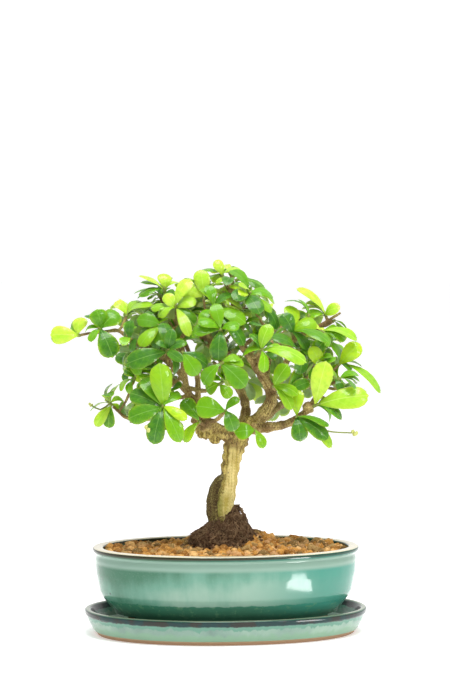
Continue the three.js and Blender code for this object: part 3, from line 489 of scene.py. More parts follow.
def leaf_samples(leaf):
    """Points all over a leaf, x, y, z and the place along it, without the foot of its stalk."""
    steps = math.ceil((LEAF_REST * leaf["frame"][0]) / LEAF_STEP)
    rows = []
    for i in range(steps + 1):
        along = LEAF_FOOT + (LEAF_REST * i) / steps
        share = height_of(LEAF_REACH, along)
        sides = max(1, math.ceil((share * leaf["width"]) / 2 / LEAF_STEP))
        for j in range(-sides, sides + 1):
            rows.append((*leaf_point(leaf, along, (share * j) / sides, 0), along))
    return rows


class Crowd:
    """A coarse grid of the points of the leaves that are already placed."""

    CELL = 4
    STALK = 0.45

    def __init__(self):
        self.cells = {}

    def key(self, point):
        return tuple(point[k] // self.CELL for k in range(3))

    def put(self, point, owner):
        self.cells.setdefault(self.key(point), []).append((*point, owner))

    def near(self, point, owner, reach):
        """Whether a leaf's point is near. Leaves of one shoot may meet where one is near its stalk."""
        i, j, k = self.key(point)
        for a in (i - 1, i, i + 1):
            for b in (j - 1, j, j + 1):
                for c in (k - 1, k, k + 1):
                    for other in self.cells.get((a, b, c), ()):
                        if other[4] == owner and min(point[3], other[3]) < self.STALK:
                            continue
                        if closer(point, other, reach):
                            return True
        return False


class Wood:
    """The wood as points with radii, sorted in space, which leaves keep clear of."""

    STALK = 0.3

    def __init__(self, rows):
        self.rows = rows
        self.most = max(row[3] for row in rows) + WOOD_CLEAR
        self.tree = tree_of([row[:3] for row in rows])

    def meets(self, point, owner):
        """Whether wood is near. A leaf's stalk may be near the wood of its own shoot."""
        for _, i, _ in self.tree.find_range(point[:3], self.most + 0.01):
            row = self.rows[i]
            own = row[4] == owner
            if own and point[3] < self.STALK:
                continue
            if closer(point, row, row[3] + (OWN_WOOD_CLEAR if own else WOOD_CLEAR)):
                return True
        return False


def is_free(leaf, owner, crowd, wood, reach=LEAF_CLEAR):
    return not any(crowd.near(p, owner, reach) or wood.meets(p, owner) for p in leaf_samples(leaf))


def new_leaf(root, tip, **terms):
    run = size(sub(tip, root))
    axis = mul(sub(tip, root), 1 / run)
    return {"root": root, "tip": tip, "frame": (run, axis, cross(axis, terms["normal"])), **terms}


def listed_leaf(twig, row, root, change):
    right, near, up, width, tilt, age = row
    more_near, more_tilt, scale = change
    tip = add(twig["at"], mul((right, -(near + more_near), up), scale))
    axis = unit(sub(tip, root))
    face = across((0, -1, 0.12), axis)
    rise = cross(axis, face)
    lean = math.radians(tilt + more_tilt)
    side = (-1 if rise[2] < 0 else 1) * math.sin(lean)
    normal = unit(add(mul(face, math.cos(lean)), mul(rise, side)))
    return new_leaf(root, tip, width=width * scale, normal=normal, age=age, arch=LEAF_ARCH,
                    cup=LEAF_CUP, listed=True)


def grown_leaf(twig, count, random, root, away, small=1.0):
    """A leaf about a shoot's axis, each turned on from the one before, and away from the viewer."""
    spin = GOLDEN * count + TURN * next(random) * 0.3
    opened = math.radians(drawn(random, *OPENING))
    length = drawn(random, *LENGTH) * small
    width = length * drawn(random, *WIDTH_SHARE)
    age = next(random)
    side = across((1, 0, 0) if abs(twig["axis"][2]) > 0.9 else (0, 0, 1), twig["axis"])
    spoke = add(mul(side, math.cos(spin)), mul(cross(twig["axis"], side), math.sin(spin)))
    heading = add(mul(twig["axis"], math.cos(opened)), mul(spoke, math.sin(opened)))
    if away and heading[1] < 0.1:
        heading = (heading[0], 0.1 + 0.6 * abs(heading[1]), heading[2])
    axis = unit(heading)
    normal = across(add(twig["axis"], (0, 0, 0.7)), axis)
    return new_leaf(root, add(root, mul(axis, length)), width=width, normal=normal,
                    age=age * 0.6 if age < 0.35 else age, arch=drawn(random, *ARCH),
                    cup=drawn(random, *CUP), listed=False)


def root_of(twig, n):
    spoke = mul((math.cos(2.4 * n), math.sin(2.4 * n), math.sin(1.3 * n)), 0.22)
    return add(add(twig["at"], mul(twig["axis"], SHOOT_LEAF * n - 1.6)), spoke)


def keep_leaf(leaves, crowd, owner, leaf):
    leaves.append(leaf)
    for point in leaf_samples(leaf):
        crowd.put(point, owner)


def grow_leaves(twigs, wood, crowd):
    """The leaves that the solids have: first the listed ones, then those that the rule adds."""
    random = random_from(SEED)
    placed = [[] for _ in twigs]
    for owner, twig in enumerate(twigs):
        for n, row in enumerate(SHOOTS[twig["name"]][2]):
            for change in CHANGES:
                leaf = listed_leaf(twig, row, root_of(twig, n), change)
                if is_free(leaf, owner, crowd, wood):
                    keep_leaf(placed[owner], crowd, owner, leaf)
                    break
    for owner, twig in enumerate(twigs):
        _, more, rows = SHOOTS[twig["name"]]
        made = 0
        for tries in range(GROWN_TRIES * more):
            if made == more:
                break
            root = root_of(twig, len(rows) + made)
            leaf = grown_leaf(twig, len(rows) + tries, random, root, len(rows) > 0)
            if in_crown(leaf["tip"]) and is_free(leaf, owner, crowd, wood):
                keep_leaf(placed[owner], crowd, owner, leaf)
                made += 1
    return placed


def note_depth(cells, x, y, z):
    """Keeps the furthest place from the viewer that each cell of the picture holds."""
    key = (x // MAP_CELL, z // MAP_CELL)
    cells[key] = max(cells.get(key, -math.inf), y)


def stands_before(rows, behind, share):
    """Whether more than a share of a leaf's points lies nearer than what the map has behind them."""
    hidden = sum(behind.get((x // MAP_CELL, z // MAP_CELL), -math.inf) > y - 1 for x, y, z, _ in rows)
    return hidden > share * len(rows)


def fill_leaves(twigs, wood, crowd, placed, limb_samples):
    """More fine leaves by the same rule: beside the shoots of the solids and on short shoots between
    them. Few stand before a listed leaf or a bare limb, and each tip is close to a leaf of the solids.
    Gives the short shoots, whose leaves it adds to the placed ones."""
    random = random_from(SEED + 5)
    front = {}
    bare = {}
    for leaf in (leaf for shoot in placed for leaf in shoot if leaf["listed"]):
        for x, y, z, _ in leaf_samples(leaf):
            note_depth(front, x, y, z)
    for x, y, z, radius, _ in limb_samples:
        if radius > BARE_RADIUS and z < BARE_TOP and y < BARE_BACK:
            for dx in (-radius, 0, radius):
                for dz in (-radius, 0, radius):
                    note_depth(bare, x + dx, y, z + dz)
    reach = tree_of([point[:3] for shoot in placed for leaf in shoot for point in leaf_samples(leaf)])

    def fill(leaves, twig, owner, tries, start):
        """Adds leaves to a shoot, up to the number that it may have, in so many tries."""
        made = 0
        for n in range(tries):
            if made == FILL_LEAVES:
                break
            small = drawn(random, *FILL_SIZE)
            leaf = grown_leaf(twig, n, random, root_of(twig, start + made), False, small)
            if leaf["tip"][2] < INNER_TOP:
                leaf["age"] = 0.45 + 0.55 * leaf["age"]
            if reach.find(leaf["tip"])[2] > FILL_REACH or not in_crown(leaf["tip"]):
                continue
            rows = leaf_samples(leaf)
            if stands_before(rows, front, LEAF_HIDDEN) or stands_before(rows, bare, WOOD_HIDDEN):
                continue
            if is_free(leaf, owner, crowd, wood, FILL_CLEAR):
                keep_leaf(leaves, crowd, owner, leaf)
                made += 1

    for owner, twig in enumerate(twigs):
        fill(placed[owner], twig, owner, FILL_TRIES[0], 0.5)
    added = []
    starts = [row for row in limb_samples if row[2] > FILL_FROM and row[3] < FILL_WOOD]
    for _ in range(FILL_TRIES[2]):
        if len(added) == FILL_SHOOTS:
            break
        start = starts[int(next(random) * len(starts))]
        # Fewer far out to the sides, and fewer low down.
        if next(random) < abs(start[0] - 4) / 95 or next(random) < 0.5 - (start[2] - 160) / 90:
            continue
        out = unit(sub(start, CROWN_HEART))
        way = add(out, (drawn(random, -1, 2), drawn(random, -1, 2), drawn(random, -0.5, 1.6)))
        owner = len(placed)
        twig = twig_from(start, add(start, mul(unit(way), drawn(random, 8, 12))), owner)
        if reach.find(twig["at"])[2] > FILL_SHOOT_REACH:
            continue
        if crowd.near((*twig["at"], 1), owner, SHOOT_CLEAR):
            continue
        leaves = []
        fill(leaves, twig, owner, FILL_TRIES[1], 0)
        if len(leaves) > 1:
            placed.append(leaves)
            added.append({"name": None, **twig})
    return added


# ---- Building pieces -----------------------------------------------------------------------------


def mesh_from(bm, name):
    """Ends a bmesh as a mesh."""
    mesh = bpy.data.meshes.new(name)
    bm.to_mesh(mesh)
    bm.free()
    return mesh


def linked(name, data):
    made = bpy.data.objects.new(name, data)
    bpy.context.scene.collection.objects.link(made)
    return made


def new_piece(name, bm, materials, slot, *nodes):
    """A smooth piece of the object in place of the named nodes."""
    for face in bm.faces:
        face.smooth = True
    piece = linked(name, mesh_from(bm, name))
    for material in materials:
        piece.data.materials.append(material)
    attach(piece, "root")
    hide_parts(*nodes)
    return piece


def evaluated(made):
    """The object's form with its modifiers applied, as a bmesh; the object itself is removed."""
    depsgraph = bpy.context.evaluated_depsgraph_get()
    mesh = bpy.data.meshes.new_from_object(made.evaluated_get(depsgraph))
    bpy.data.objects.remove(made)
    bm = bmesh.new()
    bm.from_mesh(mesh)
    return bm


def take_in(bm, part):
    """Moves a small bmesh into a larger one, which is quicker than building in the larger one."""
    mesh = mesh_from(part, "part")
    bm.from_mesh(mesh)
    bpy.data.meshes.remove(mesh)


def copied_in(bm, form):
    """Copies a mesh into a bmesh and gives the new vertices."""
    first = len(bm.verts)
    bm.from_mesh(form)
    bm.verts.ensure_lookup_table()
    return bm.verts[first:]


def rounded(profile, radius, steps=3):
    """The profile with each corner replaced by a short curve."""
    out = [profile[0]]
    for before, corner, after in zip(profile, profile[1:], profile[2:]):
        corner = Vector(corner)
        back = Vector(before) - corner
        on = Vector(after) - corner
        reach = min(radius, 0.45 * back.length, 0.45 * on.length)
        a = corner + back.normalized() * reach
        b = corner + on.normalized() * reach
        for i in range(steps + 1):
            t = i / steps
            out.append((a * (1 - t) ** 2 + corner * 2 * t * (1 - t) + b * t * t)[:])
    out.append(profile[-1])
    return out


def spun(profile, steps):
    """A profile of distance out and height, spun round the upright axis."""
    bm = bmesh.new()
    verts = [bm.verts.new((x, 0, z)) for x, z in profile]
    edges = [bm.edges.new(pair) for pair in zip(verts, verts[1:])]
    bmesh.ops.spin(bm, geom=verts + edges, axis=(0, 0, 1), cent=(0, 0, 0), dvec=(0, 0, 0),
                   angle=2 * math.pi, steps=steps, use_merge=True, use_duplicate=False)
    bmesh.ops.remove_doubles(bm, verts=bm.verts, dist=1e-4)
    return bm


def oval_spun(profile, half, steps=OVAL_STEPS):
    """A profile of long half axis and height, spun and drawn out to the oval."""
    bm = spun(profile, steps)
    inner = half[0] - OVAL_EDGE
    power = 2 / OVAL_POWER
    for v in bm.verts:
        long = math.hypot(v.co.x, v.co.y)
        turn = math.atan2(v.co.y, v.co.x)
        short = long - half[0] + half[1] if long > inner else long * (half[1] - OVAL_EDGE) / inner
        c = math.cos(turn)
        s = math.sin(turn)
        v.co.x = long * math.copysign(abs(c) ** power, c) * MM
        v.co.y = short * math.copysign(abs(s) ** power, s) * MM
        v.co.z *= MM
    bmesh.ops.recalc_face_normals(bm, faces=bm.faces)
    return bm


def ring_frames(points):
    """For each point of a line: the point and two directions square to the line there."""
    frames = []
    upright = abs((points[-1] - points[0]).normalized().z) > 0.7
    side = Vector((1, 0, 0) if upright else (0, 0, 1))
    for i, p in enumerate(points):
        ahead = points[min(i + 1, len(points) - 1)] - points[max(i - 1, 0)]
        tangent = ahead.normalized()
        side = (side - tangent * side.dot(tangent)).normalized()
        frames.append((p, side, tangent.cross(side)))
    return frames


def tube(bm, line, radii, sides, material=0):
    """A closed round tube along a line of the picture's frame, with a radius at each of its points."""
    frames = ring_frames([at_place(p) for p in line])
    radii = [radius * MM for radius in radii]
    ring = bmesh.ops.create_circle(bm, segments=sides, radius=1)["verts"]
    first = edges = list({e for v in ring for e in v.link_edges})
    start, u, w = frames[0]
    for v in ring:
        v.co = start + (u * v.co.x + w * v.co.y) * radii[0]
    faces = []
    for i in range(1, len(line)):
        middle, u0, w0 = frames[i - 1]
        after, u1, w1 = frames[i]
        grown = bmesh.ops.extrude_edge_only(bm, edges=edges)["geom"]
        fresh = {g for g in grown if isinstance(g, bmesh.types.BMVert)}
        for v in fresh:
            d = (v.co - middle) / radii[i - 1]
            v.co = after + (u1 * d.dot(u0) + w1 * d.dot(w0)) * radii[i]
        faces += [g for g in grown if isinstance(g, bmesh.types.BMFace)]
        edges = [g for g in grown if isinstance(g, bmesh.types.BMEdge) and set(g.verts) <= fresh]
    for rim in (first, edges):
        faces += bmesh.ops.edgeloop_fill(bm, edges=rim)["faces"]
    for face in faces:
        face.material_index = material
    bmesh.ops.recalc_face_normals(bm, faces=faces)


def lumps(place, *sizes):
    """Noise of several sizes, each given as its scale and its height, added up."""
    return sum(noise.noise(place * scale) * height for scale, height in sizes)


def line_along(points, radii, pitch, least=4):
    steps = steps_of(points, pitch, least)
    line = [curve_at(points, i / steps) for i in range(steps + 1)]
    return line, [radius_at(radii, i / steps) for i in range(steps + 1)]


# ---- Glazed ware ---------------------------------------------------------------------------------

# Profiles as the distance in from the rim's half axis, or None for the middle, and the height.
SAUCER_PROFILE = (
    (None, 0), (9.4, 0), (8.4, 2.4), (7, 2.8), (2.8, 10), (1.3, 14.2), (0.1, 15.6),
    (0, SAUCER_RIM - 0.8), (1, SAUCER_RIM), (3.6, SAUCER_RIM), (4.7, SAUCER_RIM - 1), (8.6, 8),
    (14, SAUCER_FLOOR), (None, SAUCER_FLOOR),
)
POT_OUTSIDE = (
    (None, POT_UNDERSIDE), (24, POT_UNDERSIDE), (23.4, FOOT_BOTTOM), (17.6, FOOT_BOTTOM),
    (16.4, POT_UNDERSIDE), (7.5, 28), (5.2, 32.6), (2.6, 46.1), (2, 56), (2.8, 60), (0.2, 61.8),
    (0, 64), (1.2, POT_RIM), (6.6, POT_RIM),
)
POT_INSIDE = ((8, 64.2), (9.2, 46), (12.4, 32.5), (20, POT_FLOOR))


def ware_profile(half, points):
    return [(0 if inset is None else half[0] - inset, z) for inset, z in points]


def make_saucer(materials):
    profile = rounded(ware_profile(SAUCER_HALF, SAUCER_PROFILE), 0.9)
    new_piece("saucer_glazed", oval_spun(profile, SAUCER_HALF), materials, "saucer_glaze", "saucer")


def make_pot(materials):
    profile = ware_profile(POT_HALF, (*POT_OUTSIDE, *POT_INSIDE, (None, POT_FLOOR)))
    pot = linked("pot_turned", mesh_from(oval_spun(rounded(profile, 1.1), POT_HALF), "pot_turned"))
    cutters = []
    for wide, deep in FOOT_GAPS:
        bm = bmesh.new()
        bmesh.ops.create_cube(bm, size=1)
        bmesh.ops.scale(bm, vec=Vector((wide, deep, FOOT_GAP_HIGH)) * MM, verts=bm.verts)
        middle = POT_UNDERSIDE - FOOT_GAP_HIGH / 2 - 0.02
        bmesh.ops.translate(bm, vec=(0, 0, middle * MM), verts=bm.verts)
        cutters.append(bm)
    for x in (-DRAIN_X, DRAIN_X):
        bm = bmesh.new()
        bmesh.ops.create_cone(bm, cap_ends=True, segments=48, radius1=DRAIN_RADIUS * MM,
                              radius2=DRAIN_RADIUS * MM, depth=DRAIN_CUT * MM)
        bmesh.ops.translate(bm, vec=Vector((x, 0, DRAIN_CUT)) * MM, verts=bm.verts)
        cutters.append(bm)
    cutters = [linked("cutter", mesh_from(bm, "cutter")) for bm in cutters]
    for cutter in cutters:
        cut = pot.modifiers.new("cut", "BOOLEAN")
        cut.operation = "DIFFERENCE"
        cut.solver = "EXACT"
        cut.object = cutter
    bm = evaluated(pot)
    for cutter in cutters:
        bpy.data.objects.remove(cutter)
    new_piece("pot_glazed", bm, materials, "pot_glaze", "pot")


# ---- Soil and root mound -------------------------------------------------------------------------

# Where the soil is heaped, from the mound's middle: right, back, half width, half depth and share.
SOIL_HEAPS = ((27, 4, 22, 26, 0.75), (0, 0, 34, 28, 0.45))
GRAIN_FORMS = 8
GRAIN_PITCH = 3.9
GRAIN_INSET = 9.6
GRAIN_LAYERS = (-3.1, -0.4)
GRAIN_SCATTER = 1.6
LOOSE_GRAINS = 220
MOUND_ROWS = 50
MOUND_SIDES = 120
BED_STEPS = 14
BED_SIDES = 96
FIBRE_STEPS = 5


def soil_height(x, y):
    mx, my, _ = turned((*MOUND_CENTRE, 0))
    heaped = 0
    for right, back, wide, deep, share in SOIL_HEAPS:
        heaped += share * math.exp(-(((x - mx - right) / wide) ** 2) - ((y - my - back) / deep) ** 2)
    return SOIL_LEVEL + SOIL_HEAP * heaped


def from_mound(x, y):
    """How far a point is from the mound's middle, as a share of the mound's foot."""
    px, py, _ = turned((x, y, 0), -TREE_TURN)
    return math.hypot((px - MOUND_CENTRE[0]) / MOUND_HALF[0], (py - MOUND_CENTRE[1]) / MOUND_HALF[1])


def grain_forms():
    """A few rough grains, each a cube that is subdivided once and knocked about."""
    noise.seed_set(SEED)
    forms = []
    for form in range(GRAIN_FORMS):
        bm = bmesh.new()
        bmesh.ops.create_cube(bm, size=1.5)
        bmesh.ops.subdivide_edges(bm, edges=bm.edges, cuts=1, use_grid_fill=True, smooth=0.9)
        for v in bm.verts:
            v.co += noise.noise_vector(v.co * 1.3 + Vector((form * 7.1, 3.3, 1.7))) * 0.34
        bmesh.ops.recalc_face_normals(bm, faces=bm.faces)
        forms.append(mesh_from(bm, "grain_form"))
    return forms


def grain_places():
    """Two layers of grains in loose rows, then some that lie on top: x, y, z and radius of each."""
    random = random_from(SEED + 11)
    half_x = POT_HALF[0] - GRAIN_INSET
    half_y = POT_HALF[1] - GRAIN_INSET
    row = GRAIN_PITCH * math.sqrt(3) / 2
    lines = math.ceil(half_y / row)
    columns = math.ceil(half_x / GRAIN_PITCH)

    def in_pot(x, y, edge):
        return abs(x / (half_x - edge)) ** OVAL_POWER + abs(y / (half_y - edge)) ** OVAL_POWER < 1

    for layer, depth in enumerate(GRAIN_LAYERS):
        for j in range(-lines, lines + 1):
            for i in range(-columns, columns + 1):
                x = (i + 0.5 * (j % 2) + 0.5 * layer) * GRAIN_PITCH + jitter(random, GRAIN_SCATTER)
                y = (j + 0.33 * layer) * row + jitter(random, GRAIN_SCATTER)
                lift = jitter(random, 1.5)
                radius = drawn(random, 1.25, 1.25, 1.7)
                if in_pot(x, y, 0.4 * radius) and from_mound(x, y) > 0.98:
                    yield x, y, soil_height(x, y) + depth + lift, radius
    for _ in range(LOOSE_GRAINS):
        turn = 2 * math.pi * next(random)
        share = next(random) ** 0.5
        x = half_x * share * math.cos(turn)
        y = half_y * share * math.sin(turn)
        radius = drawn(random, 1.3, 1.5)
        if in_pot(x, y, radius) and from_mound(x, y) > 1.03:
            yield x, y, soil_height(x, y) + drawn(random, 1.4, 0.6), radius


def make_soil(grain_skin, bed_skin):
    random = random_from(SEED + 12)
    forms = grain_forms()
    bm = bmesh.new()
    tone = bm.verts.layers.float.new("tone")
    kind = bm.verts.layers.float.new("kind")
    for x, y, z, radius in grain_places():
        fresh = copied_in(bm, forms[int(next(random) * GRAIN_FORMS)])
        turn = Matrix.Rotation(TURN * next(random), 3, "X")
        turn = turn @ Matrix.Rotation(TURN * next(random), 3, "Z")
        stretch = Vector((drawn(random, 0.85, 0.4), drawn(random, 0.85, 0.3), drawn(random, 0.75, 0.3)))
        shade = next(random)
        sort = next(random)
        for v in fresh:
            v.co = (turn @ (v.co * stretch) * radius + Vector((x, y, z))) * MM
            v[tone] = shade
            v[kind] = sort
    new_piece("soil_grains", bm, [grain_skin], "baked_clay_grains", "soil")
    for form in forms:
        bpy.data.meshes.remove(form)

    top = SOIL_LEVEL - BED_DEPTH
    wall = [(inset + GAP, z) for inset, z in POT_INSIDE[::-1]]
    wall[0] = (wall[0][0], POT_FLOOR + GAP)
    wall[-1] = (wall[-1][0], top)
    profile = ware_profile(POT_HALF, ((None, POT_FLOOR + GAP), *wall))
    rim = profile[-1][0]
    profile += [(rim * (1 - (i + 1) / BED_STEPS), top) for i in range(BED_STEPS)]
    bed = oval_spun(profile, POT_HALF, BED_SIDES)
    for v in bed.verts:
        if v.co.z > (top - 0.6) * MM:
            v.co.z += (soil_height(v.co.x / MM, v.co.y / MM) - SOIL_LEVEL) * MM
    new_piece("soil_bed", bed, [bed_skin], "baked_clay_grains", "soil")


def mound_heart(z):
    """The mound's middle line leans over above its shoulder: how far it has, then its x and y."""
    high = clamp((z - 72) / 18, 0, 1)
    return high, MOUND_CENTRE[0] + MOUND_SHIFT * high, MOUND_CENTRE[1]


def mound_point(turn, z, out=0.0):
    """A point of the mound's skin, in millimetres in the picture's frame."""
    high, x, y = mound_heart(z)
    share = height_of(MOUND_RINGS, z)
    x += (share * MOUND_HALF[0] + out) * math.cos(turn)
    y += (share * MOUND_HALF[1] + out) * math.sin(turn)
    return (x, y, z + MOUND_LEAN * high * math.cos(turn))


def mound_dip(turn, z):
    """How far the mound's top edge falls in front of the trunk."""
    return MOUND_DIP * math.exp(-(((turn + MOUND_DIP_TURN) / 0.5) ** 2)) * smooth(z, 76, MOUND_BROW)


def put_fibre(bm, random):
    """One root fibre that runs down and a little round the mound, bowed out in its middle."""
    turn = 2 * math.pi * next(random)
    z = drawn(random, 64, 25)
    fall = drawn(random, -2, 14)
    drift = jitter(random, 1.3)
    out = drawn(random, 0.4, 2)
    radius = drawn(random, 0.18, 0.34, 3)
    points = []
    for i in range(FIBRE_STEPS + 1):
        share = i / FIBRE_STEPS
        bow = out * math.sin(math.pi * share) * 1.3
        here = turn + drift * share + jitter(random, 0.12)
        height = clamp(z - fall * share + jitter(random, 1.5), 63, MOUND_BROW)
        dip = (0, 0, mound_dip(turn, height))
        points.append(sub(mound_point(here, height, bow - 0.1), dip))
    tube(bm, points, [radius * (1 - 0.12 * i) for i in range(FIBRE_STEPS + 1)], 4, 1)


def put_crumbs(bm, random):
    """Crumbs of peat that lie on the grains about the mound's foot, thinning outward."""
    for _ in range(MOUND_CRUMBS):
        turn = 2 * math.pi * next(random)
        share = drawn(random, 0.97, 0.3, 2)
        radius = drawn(random, 0.7, 1.5, 2)
        x, y, _ = turned((MOUND_CENTRE[0] + share * MOUND_HALF[0] * math.cos(turn),
                          MOUND_CENTRE[1] + share * MOUND_HALF[1] * math.sin(turn), 0))
        heaped = clamp((1.1 - share) / 0.13, 0, 1) * next(random)
        middle = Vector((x, y, soil_height(x, y) + 1.2 + 3.6 * heaped))
        seed = 40 * next(random)
        for v in bmesh.ops.create_icosphere(bm, subdivisions=1, radius=radius)["verts"]:
            push = 0.45 * noise.noise(v.co * 0.9 + Vector((seed, seed, 0)))
            v.co = (v.co * (1 + push) + middle) * MM


def make_mound(materials):
    """The mound's skin, pushed about by noise, with fibres over it and crumbs about its foot."""
    run = MOUND_TOP - MOUND_BOTTOM
    levels = [(1, MOUND_BOTTOM + run * i / MOUND_ROWS) for i in range(MOUND_ROWS + 1)]
    bm = spun([(0, MOUND_BOTTOM), *levels, (0, MOUND_TOP + 0.5)], MOUND_SIDES)
    for v in bm.verts:
        reach = math.hypot(v.co.x, v.co.y)
        turn = math.atan2(v.co.y, v.co.x)
        z = v.co.z
        skin = Vector(mound_point(turn, min(z, MOUND_BROW)))
        _, x, y = mound_heart(z)
        heart = Vector((x, y, skin.z))
        at = heart.lerp(skin, reach)
        at.z += max(0, z - MOUND_BROW) - mound_dip(turn, z) * reach
        lump = lumps(at, (0.11, 1.2), (0.3, 1.2), (0.75, 0.9))
        crumb = noise.turbulence(at * 1.1, 3, True) * 1.1
        away = Vector((at.x - heart.x, at.y - heart.y, 6)).normalized()
        v.co = at_place(at + away * (lump + crumb - 1.2) * smooth(z, 60, 66))
    bmesh.ops.recalc_face_normals(bm, faces=bm.faces)

    random = random_from(SEED + 21)
    for _ in range(FIBRE_BUNDLES):
        part = bmesh.new()
        for _ in range(BUNDLE_FIBRES):
            put_fibre(part, random)
        take_in(bm, part)
    part = bmesh.new()
    put_crumbs(part, random)
    take_in(bm, part)
    new_piece("root_mound_peat", bm, materials, "fibrous_peat", "root_mound")


# ---- Wood ----------------------------------------------------------------------------------------

WOOD_VOXEL = 0.6
LIMB_TUBE = (14, 2.5)
TWIG_TUBE = (8, 4)
ARC_STEP = 211


def make_wood(twigs, material):
    """Every limb as a tube, fused into one skin, then roughened along the grain of the bark."""
    bm = bmesh.new()
    guides = []
    tubes = [(*limb, *LIMB_TUBE, name == "old_root") for name, limb in LIMBS.items()]
    tubes += [(twig["points"], twig["radii"], *TWIG_TUBE, 0) for twig in twigs]
    for n, (points, radii, sides, pitch, dark) in enumerate(tubes):
        line, widths = line_along(points, radii, pitch)
        swell = [1 + 0.07 * math.sin(1.7 * i + len(guides)) for i in range(len(line))]
        tube(bm, line, [w * s for w, s in zip(widths, swell)], sides)
        along = ARC_STEP * n
        for i, p in enumerate(line):
            along += size(sub(p, line[i - 1])) if i else 0
            guides.append((at_place(p), p[2], along, widths[i], dark))
    for x, y, z, radius in KNOTS:
        middle = at_place((x, y, z))
        for v in bmesh.ops.create_icosphere(bm, subdivisions=3, radius=radius * MM)["verts"]:
            v.co = v.co * (1 + 0.34 * noise.noise(v.co / MM * 0.35 + Vector((x, y, z)))) + middle
        guides.append((middle, z, 40.0, radius, 0.45))
    skin = linked("wood_fused", mesh_from(bm, "wood_fused"))
    fuse = skin.modifiers.new("fuse", "REMESH")
    fuse.mode = "VOXEL"
    fuse.voxel_size = WOOD_VOXEL * MM
    bm = evaluated(skin)

    near = tree_of([guide[0] for guide in guides])
    bmesh.ops.smooth_vert(bm, verts=bm.verts, factor=0.5, use_axis_x=True, use_axis_y=True,
                          use_axis_z=True)
    bark = bm.verts.layers.float_vector.new("bark")
    girth = bm.verts.layers.float.new("girth")
    aged_or_shaded_bark = bm.verts.layers.float.new("aged_or_shaded_bark")
    bm.normal_update()
    shifts = []
    for v in bm.verts:
        place, height, along, width, dark = guides[near.find(v.co)[1]]
        out = (v.co - place) / MM
        spoke = out / max(out.length, 0.1)
        grain = spoke * 6 + Vector((0.11, 0.09, 0.2)) * along
        thick = clamp((width - 1) / 6, 0.12, 1)
        # High for aged bark, on the aged root, the knots and the trunk high up, and on each limb's left
        # side, where the darker bark colour is painted shade; it also deepens the furrows.
        aged_or_shaded_side = max(dark, 1 - smooth(spoke.x, -0.75, -0.1), smooth(height, 128, 146))
        furrow = -abs(noise.noise(grain * 0.55)) * 1.3 - abs(noise.noise(grain * 1.3)) * 0.9
        lump = lumps(v.co / MM, (0.22, 1.1), (0.7, 0.8))
        shifts.append((furrow + 0.5) * thick * (0.35 + 0.6 * aged_or_shaded_side) + lump * thick * (0.25 + 0.75 * aged_or_shaded_side))
        v[bark] = grain
        v[girth] = width
        v[aged_or_shaded_bark] = aged_or_shaded_side if dark < 1 else 2
    for v, shift in zip(bm.verts, shifts):
        v.co += v.normal * shift * MM
    new_piece("trunk_and_branches_bark", bm, [material], "bark", "trunk_and_branches")


# ---- Leaves --------------------------------------------------------------------------------------

# Rows across a fine blade: place along it, share of the half width, and how far its sides fall back.
LEAF_ROWS = (
    (0, 0.07, 0), (0.1, 0.19, 0), (0.22, 0.42, 0), (0.37, 0.7, 0), (0.52, 0.9, 0), (0.67, 0.99, 0),
    (0.8, 0.96, 0.01), (0.92, 0.76, 0.025), (1, 0.4, 0.035),
)
LEAF_ACROSS = 4
LEAF_GROOVE = 0.22
BACK_FROM = 22
LOW_TO = 182
LEFT_TO = -40
RIGHT_FROM = 34
STEM_RADII = (1.25, 1.3, 1.15, 1, 0.5)
BUDS_ON_STALK = 7
SHARP_FROM = math.radians(80)


def leaf_form():
    """One blade in its own terms: x is the side from -1 to 1, y the row and z the face."""
    bm = bmesh.new()
    under = bm.faces.layers.float.new("under")
    rows = len(LEAF_ROWS) - 1
    rims = []
    for face_side in (1, -1):
        made = bmesh.ops.create_grid(bm, x_segments=LEAF_ACROSS, y_segments=rows, size=1)["verts"]
        grid_faces = {f for v in made for f in v.link_faces}
        for v in made:
            v.co = (v.co.x, round((v.co.y + 1) / 2 * rows), face_side)
            if abs(v.co.x) > 0.99 or v.co.y in (0, rows):
                v.co.z = 0
                rims.append(v)
        for face in grid_faces:
            face[under] = face_side < 0
        if face_side < 0:
            bmesh.ops.reverse_faces(bm, faces=list(grid_faces))
    bmesh.ops.remove_doubles(bm, verts=rims, dist=1e-4)
    blade = bm.loops.layers.uv.new("blade")
    for loop in (loop for face in bm.faces for loop in face.loops):
        row = LEAF_ROWS[round(loop.vert.co.y)]
        loop[blade].uv = (0.5 + 0.5 * loop.vert.co.x * row[1], row[0])
    for edge in bm.edges:
        edge.smooth = any(v.co.z for v in edge.verts)
    return mesh_from(bm, "leaf_form")


def put_leaf(bm, form, leaf, random):
    """A fine blade in a leaf's place, with its own wave, bow, curl, hollow, twist, fold and notch."""
    age = bm.verts.layers.float["age"]
    tone = bm.verts.layers.float["tone"]
    shade = next(random)
    wave = TURN * next(random)
    bow = drawn(random, 0.2, 1.9)
    curl = drawn(random, 0.4, 1.4)
    hollow = 0.09 * leaf["width"] * drawn(random, -0.8, 2)
    twist = jitter(random, 2)
    fold = drawn(random, -0.2, 1.1)
    notch = drawn(random, 0.012, 0.02)
    for v in copied_in(bm, form):
        side = v.co.x
        along, share, back = LEAF_ROWS[round(v.co.y)]
        lift = v.co.z * LEAF_THICK / 2
        place = along - back * side * side
        if along == 1 and 0.2 < abs(side) < 0.9:
            place -= notch
        reach = abs(side) * share
        lift += LEAF_GROOVE * math.sin(math.pi * min(1, reach * 1.15)) * (0.4 + share)
        lift += 0.3 * share * math.sin(wave + 8 * along + 2 * side) * abs(side) ** 3
        lift += bow * math.sin(math.pi * along) - curl * along ** 3
        lift += hollow * reach * reach + fold * reach + twist * side * share * along
        at = at_place(leaf_point(leaf, place, side * share, lift))
        v.co = Vector(clamp(c, low, high) for c, low, high in zip(at, *BOX))
        v[age] = leaf["age"]
        v[tone] = shade


